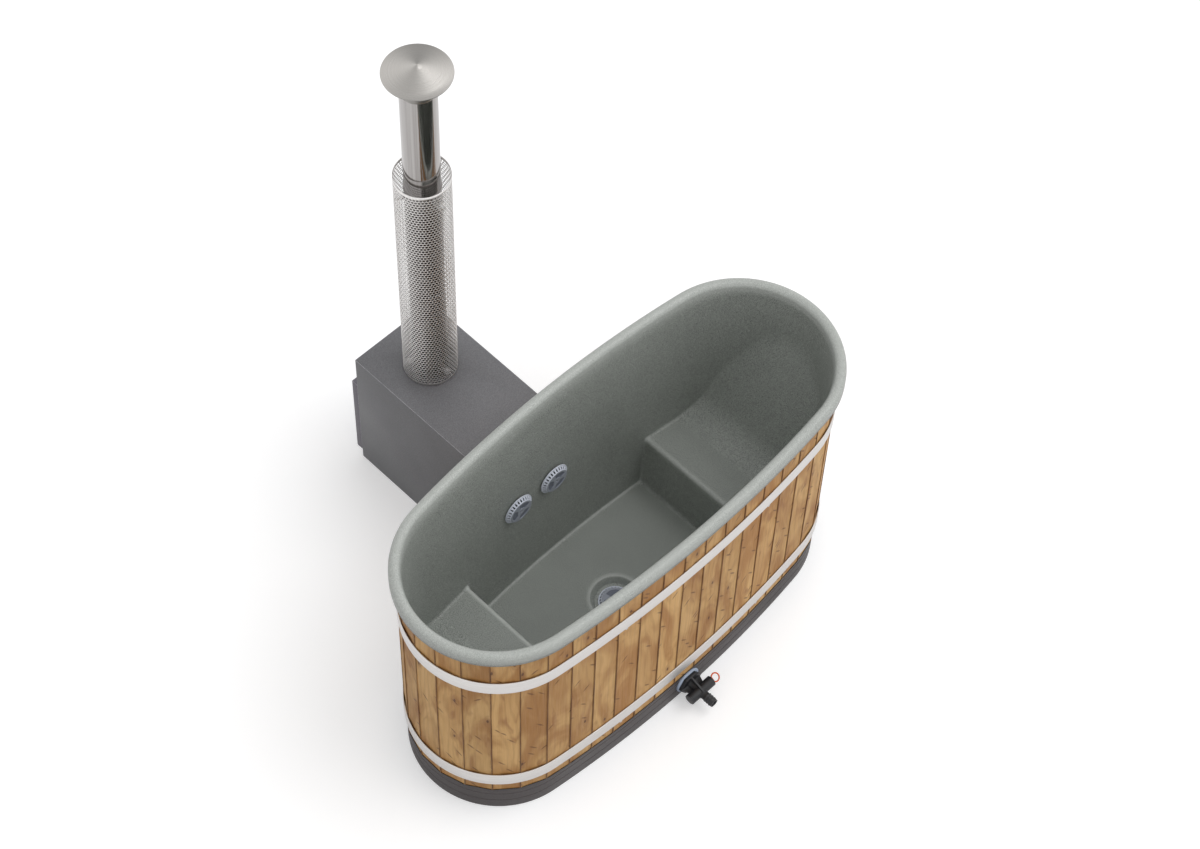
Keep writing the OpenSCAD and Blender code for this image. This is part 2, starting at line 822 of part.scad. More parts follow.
module pull_ring() {
    bar_r = ring_wire + 0.5;
    bar_x = spool_to + bar_r;
    mid_r = ring_r - ring_wire;
    half_bar = mid_r * 0.55;
    reach_a = asin(half_bar / mid_r);
    color("#e07b3c") at_valve() translate([0, 0, valve_w[2]]) {
        translate([spool_to - stem_l, 0, 0]) along_x(stem_r, stem_l + bar_r);
        rotate([ring_turn, 0, 0]) {
            translate([bar_x, 0, -half_bar - bar_r]) cylinder(h = 2 * (half_bar + bar_r), r = bar_r);
            translate([bar_x + mid_r * cos(reach_a), 0, 0]) rotate([90, 0, 0])
                rotate([0, 0, reach_a - 180]) rotate_extrude(angle = 360 - 2 * reach_a)
                    translate([mid_r, 0]) circle(r = ring_wire);
        }
    }
}

// ---- Wall fittings: drawn standing, then turned to face into the tub ----

module at_wall(x) {
    translate([x, half_width(x, wall_in(fitting_z)), fitting_z]) rotate([90, 0, 0]) children();
}

module wall_body(x) {
    tail = wall_in(fitting_z) + wall_seat + tail_out;
    color("#5f6068") at_wall(x) translate([0, 0, wall_seat]) fitting_body(tail_r, tail_bore_r, tail);
}

module wall_gasket(x) {
    color("#303030") at_wall(x) difference() {
        translate([0, 0, -wall_seat]) tube(wedge_gasket_r, tail_r + 1, 2 * wall_seat);
        rotate([-draft, -asin(x / side_r), 0]) translate([-grille_r, -grille_r, -50 + 0.5])
            cube([2 * grille_r, 2 * grille_r, 50]);
    }
}

module wall_nut(x) {
    lean = (flange_r - 10) * tan(draft);
    color("#5f6068") at_wall(x) translate([0, 0, -liner_t - lean - nut_t - 0.5])
        nut(64, tail_r + fit, nut_t);
}

module cold_grille() { at_wall(cold_x) translate([0, 0, wall_seat]) grille(); }
module cold_body() { wall_body(cold_x); }
module cold_gasket() { wall_gasket(cold_x); }
module cold_nut() { wall_nut(cold_x); }
module cold_screw() { at_wall(cold_x) translate([0, 0, wall_seat]) grille_screw(); }
module hot_grille() { at_wall(hot_x) translate([0, 0, wall_seat]) grille(); }
module hot_body() { wall_body(hot_x); }
module hot_gasket() { wall_gasket(hot_x); }
module hot_nut() { wall_nut(hot_x); }
module hot_screw() { at_wall(hot_x) translate([0, 0, wall_seat]) grille_screw(); }

// ---- Pipes between the tub and the heater ----

// Turns the upright plane so that a pipe from a fitting at x reaches its port
module pipe_plane(x, port) {
    translate([x, half_w, fitting_z])
        rotate([0, atan2(x - port[0], fitting_z - port[1]), 0]) children();
}

function pipe_drop(x, port) = norm([x - port[0], fitting_z - port[1]]);

module water_pipe(x, port) {
    drop = pipe_drop(x, port);
    down_y = (heater_gap - pipe_end_gap + pipe_start) / 2;
    bend_from = down_y - pipe_bend;
    color("#2b2b2b") pipe_plane(x, port) {
        translate([0, pipe_start, 0]) along_y(pipe_r, bend_from - pipe_start, pipe_bore_r);
        translate([0, bend_from, -pipe_bend]) rotate([90, 0, 90])
            rotate_extrude(angle = 90) translate([pipe_bend, 0]) pipe_section();
        translate([0, down_y, -drop + pipe_bend])
            tube(pipe_r, pipe_bore_r, drop - 2 * pipe_bend);
        translate([0, down_y + pipe_bend, -drop + pipe_bend]) rotate([90, 0, 90]) rotate([0, 0, 180])
            rotate_extrude(angle = 90) translate([pipe_bend, 0]) pipe_section();
        translate([0, down_y + pipe_bend, -drop])
            along_y(pipe_r, heater_gap - pipe_end_gap - down_y - pipe_bend, pipe_bore_r);
    }
}

module pipe_section() {
    difference() {
        circle(r = pipe_r);
        circle(r = pipe_bore_r);
    }
}

module cold_pipe() { water_pipe(cold_x, cold_port); }
module hot_pipe() { water_pipe(hot_x, hot_port); }

module clamp() {
    rotate([90, 0, 0]) translate([0, 0, -clamp_w / 2]) {
        tube(pipe_r + clamp_t, pipe_r, clamp_w);
        translate([-8, pipe_r + clamp_t - 0.2, 1]) cube([16, 7, clamp_w - 2]);
    }
}

module pipe_clamps() {
    color("#c4c6c8") for (h = [[cold_x, cold_port], [hot_x, hot_port]]) pipe_plane(h[0], h[1]) {
        translate([0, pipe_start + clamp_w / 2 + 2, 0]) clamp();
        translate([0, heater_gap - pipe_end_gap - clamp_w / 2 - 2, -pipe_drop(h[0], h[1])])
            rotate([0, 180, 0]) clamp();
    }
}

// ---- Heater ----

module heater_casing() {
    color("#5a5a5c") difference() {
        translate([heater_x - heater_w / 2, heater_y, 0]) cube([heater_w, heater_d, heater_h]);
        translate([heater_x - heater_w / 2 + casing_t, heater_y + casing_t, -1])
            cube([heater_w - 2 * casing_t, heater_d - 2 * casing_t, heater_h - casing_t + 1]);
        translate([heater_x, flue_y, heater_h - casing_t - 1]) cylinder(h = casing_t + 2, r = flue_r + 4);
        translate([heater_x - open_w / 2, front_y - casing_t - 1, open_z])
            cube([open_w, casing_t + 2, open_h]);
        for (port = [cold_port, hot_port]) translate([port[0], heater_y - 1, port[1]])
            along_y(tail_r + 2, casing_t + 2);
    }
}

module heater_base() {
    in = casing_t + seat_gap;
    rail_w = 40;
    color("#3d3d3f") {
        translate([heater_x - heater_w / 2 + in, heater_y + in, 0])
            cube([heater_w - 2 * in, heater_d - 2 * in, 3]);
        for (side = [-1, 1]) translate([heater_x + side * 90 - rail_w / 2, jacket_y, 2.5])
            cube([rail_w, jacket_front - jacket_y, jacket_z - 2.5]);
    }
}

module water_jacket() {
    color("#8a8c8e") difference() {
        union() {
            translate([heater_x - jacket_w / 2, jacket_y, jacket_z])
                cube([jacket_w, jacket_front - fire_t - jacket_y, jacket_top - jacket_z]);
            for (port = [cold_port, hot_port])
                translate([port[0], heater_y - 33, port[1]]) along_y(tail_r, casing_t + casing_gap + 34);
        }
        translate([heater_x - jacket_w / 2 + jacket_t, jacket_y + jacket_t, jacket_z + jacket_t])
            cube([jacket_w - 2 * jacket_t, heater_d, jacket_top - jacket_z - 2 * jacket_t]);
        for (port = [cold_port, hot_port])
            translate([port[0], heater_y - 34, port[1]]) along_y(tail_bore_r, casing_t + casing_gap + 44);
        translate([heater_x, flue_y, jacket_top - jacket_t - 1])
            cylinder(h = jacket_t + 2, r = flue_r + 3.2);
    }
}

// Fire chamber with its front frame and the collar that takes the flue
module firebox() {
    out_w = fire_w + 2 * fire_t;
    out_h = fire_h + 2 * fire_t;
    top_z = fire_z + fire_h;
    color("#4a4a4a") difference() {
        union() {
            translate([heater_x - out_w / 2, fire_y, fire_z - fire_t])
                cube([out_w, jacket_front - fire_y, out_h]);
            translate([heater_x - jacket_w / 2, jacket_front - fire_t, jacket_z])
                cube([jacket_w, fire_t, jacket_top - jacket_z]);
            translate([heater_x, flue_y, top_z + fire_t - 0.5])
                cylinder(h = heater_h + 20 - top_z - fire_t, r = flue_r + 3);
        }
        translate([heater_x - fire_w / 2, fire_y + fire_t, fire_z])
            cube([fire_w, heater_d, fire_h]);
        translate([heater_x, flue_y, top_z - 1]) cylinder(h = 200, r = flue_r + fit);
    }
}

module grate() {
    bar_w = 12;
    gap = 12;
    bars = floor((fire_w - 8) / (bar_w + gap));
    length = jacket_front - fire_y - fire_t - 30;
    width = bars * (bar_w + gap) + gap;
    color("#2f2f2f") translate([heater_x - width / 2, fire_y + fire_t + 8, fire_z]) {
        for (y = [0, length / 2 - 8, length - 16]) translate([0, y, 0]) cube([width, 16, 18]);
        for (i = [0:bars]) translate([i * (bar_w + gap), 0, 0]) cube([bar_w, length, 18]);
    }
}

// ---- Door ----

module door_plate() {
    left = heater_x - heater_w / 2;
    color("#6b6567") difference() {
        translate([left, door_back, door_z]) cube([heater_w, door_t, door_h]);
        translate([left + door_sheet, door_back - 1, door_z + door_sheet])
            cube([heater_w - 2 * door_sheet, door_t - door_sheet + 1, door_h - 2 * door_sheet]);
        translate([spindle_x, door_back, spindle_z]) along_y(spindle_r + fit, door_t + 1);
        air_slots(0, door_front - door_sheet - 1, door_sheet + 2);
    }
}

// Three air slots, moved along X by shift
module air_slots(shift, y, depth) {
    for (i = [-1:1]) translate([air_x + shift + i * 2 * slot_w - slot_w / 2, y, air_z - slot_h / 2])
        cube([slot_w, depth, slot_h]);
}

module door_board() {
    in = door_sheet + seat_gap;
    left = heater_x - heater_w / 2 + in;
    stand = door_back - jacket_front - 1;
    mouth_w = fire_w + 14;
    color("#b8ad98") difference() {
        union() {
            translate([left, door_back + 1, door_z + in])
                cube([heater_w - 2 * in, door_t - door_sheet - 1, door_h - 2 * in]);
            translate([heater_x - mouth_w / 2, jacket_front + 1, fire_z + 4])
                cube([mouth_w, stand + 1, open_z + open_h - fire_z - 10]);
        }
        translate([spindle_x, door_back, spindle_z]) along_y(spindle_r + 1, door_t + 1);
        translate([air_x - 3 * slot_w, jacket_front, air_z - slot_h / 2 - 2])
            cube([6 * slot_w, door_front - door_sheet - jacket_front, slot_h + 4]);
    }
}

module hinge_brackets() {
    side_x = heater_x + heater_w / 2;
    knuckle_h = 16;
    color("#4c4a4b") for (z = hinge_heights) difference() {
        union() {
            translate([side_x, front_y - 34, z - knuckle_h]) cube([3, 34, knuckle_h]);
            translate([side_x, front_y - 4, z - knuckle_h]) cube([9, 4, knuckle_h]);
            translate([hinge_x - 5, front_y - 4, z - knuckle_h]) cube([5, hinge_y - front_y + 4, knuckle_h]);
            translate([hinge_x, hinge_y, z - knuckle_h]) cylinder(h = knuckle_h, r = hinge_r);
        }
        translate([hinge_x, hinge_y, z - knuckle_h + 2]) cylinder(h = knuckle_h, r = pin_r);
    }
}

module hinge_pins() {
    color("#b5b5b5") for (z = hinge_heights)
        translate([hinge_x, hinge_y, z - 14]) cylinder(h = 14 + sleeve_h - 2, r = pin_r);
}

module hinge_sleeves() {
    side_x = heater_x + heater_w / 2;
    color("#4c4a4b") for (z = hinge_heights) difference() {
        union() {
            translate([hinge_x, hinge_y, z + seat_gap]) cylinder(h = sleeve_h, r = hinge_r);
            translate([side_x, hinge_y - 4, z + seat_gap]) cube([hinge_x - side_x, 8, sleeve_h]);
        }
        translate([hinge_x, hinge_y, z + seat_gap - 1]) cylinder(h = sleeve_h - 1, r = pin_r + fit);
    }
}

module latch_handle() {
    grip_r = 7;
    arm_y = door_front + 14;
    color("#2a2a2a") {
        translate([spindle_x, door_front + seat_gap, spindle_z]) along_y(11, 6);
        translate([spindle_x, jacket_front + 5.5, spindle_z])
            along_y(spindle_r, arm_y + 5 - jacket_front - 5.5);
        translate([spindle_x, arm_y, spindle_z - handle_l]) {
            translate([0, 0, grip_r]) cylinder(h = handle_l, r = grip_r);
            translate([0, 0, grip_r]) sphere(r = grip_r);
            translate([0, 0, handle_l + grip_r]) sphere(r = grip_r);
        }
    }
}

module latch_cam() {
    cam_y = jacket_front + 1.5;
    color("#8d8d8d") difference() {
        union() {
            translate([spindle_x, cam_y, spindle_z]) along_y(9, 5.5);
            translate([spindle_x - 7, cam_y, spindle_z]) cube([14, 5.5, cam_l]);
        }
        translate([spindle_x, jacket_front + 5.5, spindle_z]) along_y(spindle_r, 5);
    }
}

module air_slide() {
    plate = 7 * slot_w;
    y = door_front + seat_gap;
    color("#3a3a3a") difference() {
        union() {
            translate([air_x - slot_w - plate / 2, y, air_z - slot_h / 2 - 5])
                cube([plate, 2, slot_h + 10]);
            translate([air_x - slot_w - plate / 2 + 8, y + 1.5, air_z]) along_y(6, 14);
        }
        air_slots(-slot_w, y - 1, 4);
    }
}

module air_guides() {
    half = slot_h / 2 + 5;
    length = 9 * slot_w;
    color("#57575a") for (side = [-1, 1]) translate([air_x - slot_w / 2 - length / 2, 0, air_z]) {
        translate([0, door_front, side * (half + 0.3 + 2) - 2]) cube([length, 4.6, 4]);
        translate([0, door_front + 2.6, side * (half - 1) - 1.5 + side * 1.3]) cube([length, 2, 3]);
    }
}

// ---- Chimney ----

module at_flue(z) { translate([heater_x, flue_y, z]) children(); }

module lower_flue() {
    bottom = jacket_top - 40;
    neck_top = upper_flue_z + 45;
    bead_h = 4;
    color("#b9b6b4") at_flue(0) rotate_extrude() polygon([
        [flue_r - flue_t, bottom], [flue_r, bottom],
        [flue_r, swage_z - 3], [flue_r + 2, swage_z - 1.5], [flue_r + 2, swage_z + bead_h - 2],
        [neck_r, swage_z + bead_h],
        [neck_r, neck_top], [neck_r - flue_t, neck_top],
        [neck_r - flue_t, swage_z], [flue_r - flue_t, swage_z - 4]]);
}

module upper_flue() {
    color("#d4d1cf") at_flue(upper_flue_z) tube(flue_r, flue_r - flue_t, flue_top - upper_flue_z);
}

module flue_guard() {
    color("#bdbab8") at_flue(heater_h) tube(guard_r, guard_r - 1, guard_top - heater_h);
}

module guard_spacers() {
    color("#a5a5a5") for (z = [heater_h + 30, guard_top - 90], a = [30:120:270])
        at_flue(z) rotate([0, 0, a]) difference() {
            translate([flue_r - 1, -spacer_w / 2, 0]) cube([guard_r - flue_r, spacer_w, 12]);
            cylinder(h = 30, r = flue_r + fit, center = true);
            difference() {
                cylinder(h = 30, r = 2 * guard_r, center = true);
                cylinder(h = 32, r = guard_r - 1 - fit, center = true);
            }
        }
}

module rain_cap() {
    sheet = 1.2;
    leg_w = 18;
    band_z = flue_top - 30;
    leg_top_r = flue_r + 18;
    slope = cap_h / cap_r;
    leg_top_z = cap_z + cap_h - slope * leg_top_r - 0.6;
    color("#cfccca") at_flue(0) {
        rotate_extrude() polygon([[0, cap_z + cap_h], [cap_r, cap_z + 1], [cap_r, cap_z],
                                  [cap_r - 2, cap_z], [0, cap_z + cap_h - sheet]]);
        translate([0, 0, band_z]) tube(flue_r + fit + 1.5, flue_r + fit, 20);
        for (a = [60:120:300]) rotate([0, 0, a]) rotate([90, 0, 0])
            translate([0, 0, -leg_w / 2]) linear_extrude(height = leg_w)
                polygon([[flue_r + 1, band_z + 4], [flue_r + 3, band_z + 4],
                         [flue_r + 3, flue_top - 6], [leg_top_r + 2, leg_top_z - 0.6],
                         [leg_top_r, leg_top_z], [flue_r + 1, flue_top - 4]]);
    }
}

liner();
staves_heater_side();
staves_step_end();
staves_valve_side();
staves_seat_end();
upper_hoop();
lower_hoop();
hoop_bolts();
hoop_nuts();
hoop_support_screws();
plinth();
floor_deck();
deck_bearers();
floor_insulation();
seat_supports();
drain_grille();
drain_body();
drain_gasket();
drain_nut();
drain_screw();
drain_pipe();
valve_body();
valve_gasket();
valve_nut();
valve_end_cap();
valve_spool();
spool_seals();
pull_ring();
cold_grille();
cold_body();
cold_gasket();
cold_nut();
cold_screw();
cold_pipe();
hot_grille();
hot_body();
hot_gasket();
hot_nut();
hot_screw();
hot_pipe();
pipe_clamps();
heater_casing();
heater_base();
water_jacket();
firebox();
grate();
door_plate();
door_board();
hinge_brackets();
hinge_pins();
hinge_sleeves();
latch_handle();
latch_cam();
air_slide();
air_guides();
lower_flue();
upper_flue();
flue_guard();
guard_spacers();
rain_cap();
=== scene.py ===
import json

import bmesh
import bpy
import numpy as np
from mathutils import Matrix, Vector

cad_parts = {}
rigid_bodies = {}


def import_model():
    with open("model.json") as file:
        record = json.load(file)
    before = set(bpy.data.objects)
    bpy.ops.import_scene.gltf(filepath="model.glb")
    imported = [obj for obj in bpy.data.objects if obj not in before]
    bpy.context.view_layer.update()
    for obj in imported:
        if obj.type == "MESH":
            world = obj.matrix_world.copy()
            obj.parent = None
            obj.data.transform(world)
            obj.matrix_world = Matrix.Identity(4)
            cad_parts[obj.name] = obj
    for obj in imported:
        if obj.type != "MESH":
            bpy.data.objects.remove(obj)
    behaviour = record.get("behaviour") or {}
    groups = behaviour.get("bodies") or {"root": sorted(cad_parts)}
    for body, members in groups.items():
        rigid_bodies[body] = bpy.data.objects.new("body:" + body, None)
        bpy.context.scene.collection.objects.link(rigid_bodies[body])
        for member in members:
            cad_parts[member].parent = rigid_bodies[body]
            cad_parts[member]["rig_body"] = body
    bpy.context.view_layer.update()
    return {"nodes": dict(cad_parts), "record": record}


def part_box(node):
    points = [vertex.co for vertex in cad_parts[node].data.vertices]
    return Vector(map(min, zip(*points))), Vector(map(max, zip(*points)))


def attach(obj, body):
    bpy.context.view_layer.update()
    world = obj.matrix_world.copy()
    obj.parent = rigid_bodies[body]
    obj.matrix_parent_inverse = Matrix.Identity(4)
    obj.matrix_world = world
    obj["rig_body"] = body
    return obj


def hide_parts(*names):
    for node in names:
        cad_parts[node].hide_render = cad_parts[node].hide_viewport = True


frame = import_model()

scene = bpy.context.scene
TAU = 2 * np.pi

# ---------------------------------------------------------------- sizes, in metres
SIDE_R, END_R, END_X = 4.258, 0.303, 0.525
SIDE_Y = 0.338 - SIDE_R
END_TAN = (15, 112)  # across and along, towards the point where side and end arc meet
SIDE_A = np.arctan2(*END_TAN)
END_LEN = END_R * (np.pi / 2 - SIDE_A)
SIDE_LEN = 2 * SIDE_R * SIDE_A
OVAL_LEN = 4 * END_LEN + 2 * SIDE_LEN
STAVES = 45
STAVE_T, STAVE_GAP = 0.011, 0.0003
STAVE_FROM, STAVE_TO = 0.128, 1.0
FLUE = (0.019, 0.888)


# ---------------------------------------------------------------- meshes
def oval(s):
    """Centre x, centre y, radius and direction of the oval at distances s from its +X end: four end
    quarters of one radius and two long side arcs of another, taken in order round the tub."""
    s = np.mod(np.asarray(s, float), OVAL_LEN)
    a = np.array([END_LEN, END_LEN + SIDE_LEN, 3 * END_LEN + SIDE_LEN, 3 * END_LEN + 2 * SIDE_LEN])
    k = np.searchsorted(a, s, side="right")
    cx = np.array([END_X, 0, -END_X, 0, END_X])[k]
    cy = np.array([0, SIDE_Y, 0, -SIDE_Y, 0])[k]
    r = np.array([END_R, SIDE_R, END_R, SIDE_R, END_R])[k]
    from_s = np.concatenate([[0], a])[k]
    from_a = np.array([0, np.pi / 2 - SIDE_A, np.pi / 2 + SIDE_A, 1.5 * np.pi - SIDE_A,
                       1.5 * np.pi + SIDE_A])[k]
    return cx, cy, r, from_a + (s - from_s) / r


def oval_point(s, out=0.0):
    """Plan points at distances s along the oval, moved outwards by out along its radius there."""
    cx, cy, r, a = oval(s)
    return np.stack([cx + (r + out) * np.cos(a), cy + (r + out) * np.sin(a)], -1)


def outward(s):
    """Unit outward directions in plan at distances s along the oval."""
    a = oval(s)[3]
    return np.stack([np.cos(a), np.sin(a)], -1)


def grid_faces(rows, cols, wrap_rows=False, wrap_cols=False, start=0):
    """Quads between neighbouring points of a rows by cols grid, whose last row or column may join
    on to its first."""
    i = np.arange(rows if wrap_rows else rows - 1)[:, None]
    j = np.arange(cols if wrap_cols else cols - 1)[None, :]
    i2, j2 = (i + 1) % rows, (j + 1) % cols
    quads = np.stack([i * cols + j, i * cols + j2, i2 * cols + j2, i2 * cols + j], -1)
    return quads.reshape(-1, 4) + start


def mesh_of(name, points, faces, uv=None, marks=None):
    """A mesh of an array of points and a list of whole face arrays, each with its own corner count.
    uv and marks give two numbers, or one named number, for each point."""
    faces = [np.asarray(f, np.int32) for f in faces if len(f)]
    mesh = bpy.data.meshes.new(name)
    points = np.asarray(points, np.float32).reshape(-1, 3)
    mesh.vertices.add(len(points))
    mesh.vertices.foreach_set("co", points.ravel())
    counts = np.concatenate([np.full(len(f), f.shape[1]) for f in faces])
    corners = np.concatenate([f.ravel() for f in faces])
    mesh.loops.add(len(corners))
    mesh.loops.foreach_set("vertex_index", corners)
    mesh.polygons.add(len(counts))
    mesh.polygons.foreach_set("loop_start", np.concatenate([[0], np.cumsum(counts)[:-1]]))
    mesh.update(calc_edges=True)
    if uv is not None:
        layer = mesh.uv_layers.new(name="UVMap")
        layer.data.foreach_set("uv", np.asarray(uv, np.float32)[corners].ravel())
    for key, values in (marks or {}).items():
        mark = mesh.attributes.new(key, "FLOAT", "POINT")
        mark.data.foreach_set("value", np.asarray(values, np.float32).ravel())
    return mesh


def tidy_mesh(mesh, merge, turn):
    """Merges doubles, drops points of no face and, if asked, turns every face outwards."""
    work = bmesh.new()
    work.from_mesh(mesh)
    bmesh.ops.remove_doubles(work, verts=work.verts, dist=merge)
    bmesh.ops.delete(work, geom=[v for v in work.verts if not v.link_faces], context="VERTS")
    if turn:
        bmesh.ops.recalc_face_normals(work, faces=work.faces)
    work.to_mesh(mesh)
    work.free()


def piece(name, mesh, body, slot, nodes, angle):
    """Puts a mesh into the scene as a piece of the object, smooth where its faces meet at less than
    the given angle."""
    obj = bpy.data.objects.new(name, mesh)
    scene.collection.objects.link(obj)
    mesh.materials.append(MATERIALS[slot])
    mesh.polygons.foreach_set("use_smooth", np.ones(len(mesh.polygons), bool))
    mesh.set_sharp_from_angle(angle=np.radians(angle))
    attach(obj, body)
    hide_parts(*nodes)
    return obj


def add(name, points, faces, body, slot, node, angle, merge=1e-7, turn=True, **layers):
    """A mesh made, tidied and put into the scene in place of a node."""
    mesh = mesh_of(name, points, faces, **layers)
    tidy_mesh(mesh, merge, turn)
    return piece(name, mesh, body, slot, [node], angle)


def rounded(corners, radii, steps=4):
    """A closed outline with its corners rounded: each corner becomes an arc that touches both of
    its sides, with the radius that is given for it."""
    c = np.asarray(corners, float)
    radii = np.broadcast_to(radii, len(c))
    out = []
    for here, before, after, r in zip(c, np.roll(c, 1, 0), np.roll(c, -1, 0), radii):
        if r <= 0:
            out.append(here[None])
            continue
        a, b = before - here, after - here
        a, b = a / np.hypot(*a), b / np.hypot(*b)
        half = np.arccos(np.clip(a @ b, -1, 1)) / 2
        mid = here + (a + b) / np.hypot(*(a + b)) * r / np.sin(half)
        p, q = here + a * r / np.tan(half), here + b * r / np.tan(half)
        t = np.linspace(0, 1, steps + 1)[:, None]
        arc = (p - mid) * (1 - t) + (q - mid) * t
        out.append(mid + arc / np.hypot(arc[:, 0], arc[:, 1])[:, None] * r)
    return np.concatenate(out)


def swept(path, out, outline):
    """An outline of (offset outwards, height) set up at each point of a path in plan."""
    xy = path[:, None] + out[:, None] * outline[None, :, :1]
    return np.concatenate([xy, np.broadcast_to(outline[None, :, 1:], xy.shape[:2] + (1,))], -1)


def end_caps(sides, rings):
    """The two end faces of a closed outline of some sides carried through some rings."""
    first = np.arange(sides)
    return np.stack([first, first[::-1] + (rings - 1) * sides])


def turned(profile, count, closed=False):
    """An outline of (radius, height) turned once round the chimney's axis."""
    a = np.arange(count) * TAU / count
    profile = np.asarray(profile, float)
    r, z = profile[None, :, 0], profile[None, :, 1]
    points = np.stack([FLUE[0] + r * np.cos(a)[:, None], FLUE[1] + r * np.sin(a)[:, None],
                       np.broadcast_to(z, (count, len(profile)))], -1)
    return points.reshape(-1, 3), [grid_faces(count, len(profile), True, closed)]


# ---------------------------------------------------------------- shader helpers
def put(tree, kind, inputs=None, **settings):
    """Adds one node, with its settings and its inputs as plain values or as links."""
    node = tree.nodes.new(kind)
    for key, value in settings.items():
        setattr(node, key, value)
    for key, value in (inputs or {}).items():
        socket = node.inputs[key]
        if isinstance(value, bpy.types.NodeSocket):
            tree.links.new(value, socket)
        else:
            socket.default_value = value
    return node


def calc(tree, operation, *values, clamp=False):
    node = put(tree, "ShaderNodeMath", dict(enumerate(values)), operation=operation)
    node.use_clamp = clamp
    return node.outputs[0]


def times(tree, a, b):
    return calc(tree, "MULTIPLY", a, b)


def plus(tree, a, b):
    return calc(tree, "ADD", a, b)


def coords(tree, kind="Object"):
    return put(tree, "ShaderNodeTexCoord").outputs[kind]


def marked(tree, name):
    """The number that a mesh carries at its points or faces under a name."""
    return put(tree, "ShaderNodeAttribute", attribute_name=name).outputs["Fac"]


def blend(tree, amount, first, second, mode="MIX"):
    node = put(tree, "ShaderNodeMix", data_type="RGBA", blend_type=mode)
    for index, value in ((0, amount), (6, first), (7, second)):
        if isinstance(value, bpy.types.NodeSocket):
            tree.links.new(value, node.inputs[index])
        else:
            node.inputs[index].default_value = value
    return node.outputs[2]


def layered(tree, colour, *layers):
    """A colour with others laid over it, each (how much, what)."""
    for amount, second in layers:
        colour = blend(tree, amount, colour, second)
    return colour


def recolour(made, *layers):
    """Lays more colours over the one that a finish takes from its group."""
    _, tree, shader, effect = made
    tree.links.new(layered(tree, effect.outputs["Color"], *layers), shader.inputs["Base Color"])


def between(tree, value, low, high, to_low=0.0, to_high=1.0):
    """A value taken from one range to another with smooth ends."""
    node = put(tree, "ShaderNodeMapRange", {"Value": value, "From Min": low, "From Max": high,
                                            "To Min": to_low, "To Max": to_high},
               interpolation_type="SMOOTHSTEP")
    return node.outputs[0]


def noise(tree, vector, scale, detail=2.0, rough=0.5, distortion=0.0):
    return put(tree, "ShaderNodeTexNoise", {"Vector": vector, "Scale": scale, "Detail": detail,
                                            "Roughness": rough,
                                            "Distortion": distortion}).outputs[0]


def scaled(tree, vector, factors, turn=0.0):
    return put(tree, "ShaderNodeMapping", {"Vector": vector, "Scale": factors,
                                           "Rotation": (0, 0, turn)}).outputs[0]


def shade(r, g, b):
    """A colour as the eye reads it, 0 to 255, as a linear colour."""
    c = np.array([r, g, b]) / 255
    c = np.where(c <= 0.04045, c / 12.92, ((c + 0.055) / 1.055) ** 2.4)
    return (*c.tolist(), 1.0)


def group(name, colours, **numbers):
    """A shader node group that takes a vector, colours, and numbers with their plain values, and
    gives a colour, a roughness and a height."""
    tree = bpy.data.node_groups.new(name, "ShaderNodeTree")
    takes = [("Vector", "Vector")] + [(key, "Color") for key in colours]
    for key, kind in takes + [(key, "Float") for key in numbers]:
        socket = tree.interface.new_socket(name=key, in_out="INPUT",
                                           socket_type="NodeSocket" + kind)
        if key in numbers:
            socket.default_value = numbers[key]
    for key, kind in (("Color", "Color"), ("Roughness", "Float"), ("Height", "Float")):
        tree.interface.new_socket(name=key, in_out="OUTPUT", socket_type="NodeSocket" + kind)
    return (tree, tree.nodes.new("NodeGroupInput").outputs,
            tree.nodes.new("NodeGroupOutput").inputs)


def give_all(tree, give, colour, roughness, height):
    for key, value in (("Color", colour), ("Roughness", roughness), ("Height", height)):
        tree.links.new(value, give[key])


def gloss(tree, value, take):
    """Roughness from smooth to coarse as a value goes from 0.3 to 0.7."""
    return put(tree, "ShaderNodeMapRange", {"Value": value, "From Min": 0.3, "From Max": 0.7,
                                            "To Min": take["Smooth"],
                                            "To Max": take["Coarse"]}).outputs[0]


def make_speckle():
    """Moulded stone-fleck plastic: coarse dark and fine light grains of noise over a slow drift of
    the ground colour."""
    tree, take, give = group("stone_fleck", ("Ground", "Dark", "Light"))
    v = take["Vector"]
    coarse = noise(tree, v, 400.0, 2.0, 0.65)
    fine = noise(tree, v, 640.0, 2.0, 0.6)
    drift = noise(tree, v, 9.0, 2.0)
    dark = between(tree, coarse, 0.53, 0.40)
    light = between(tree, fine, 0.50, 0.61)
    ground = blend(tree, between(tree, drift, 0.35, 0.7, 0.0, 0.12), take["Ground"],
                   take["Dark"])
    mixed = layered(tree, ground, (times(tree, dark, 0.84), take["Dark"]),
                    (times(tree, light, 0.80), take["Light"]))
    give_all(tree, give, mixed, between(tree, coarse, 0.3, 0.7, 0.34, 0.52),
             plus(tree, coarse, times(tree, fine, 0.5)))
    return tree


def scattered(tree, vector, random, channel, rare):
    """Cells round scattered points: the distance to the nearest one, and 1 where its random colour
    channel is above a bound."""
    cell = put(tree, "ShaderNodeTexVoronoi", {"Vector": vector, "Scale": 1.0,
                                              "Randomness": random}, voronoi_dimensions="2D")
    part = put(tree, "ShaderNodeSeparateColor", {0: cell.outputs["Color"]}).outputs[channel]
    return cell.outputs["Distance"], calc(tree, "GREATER_THAN", part, rare)


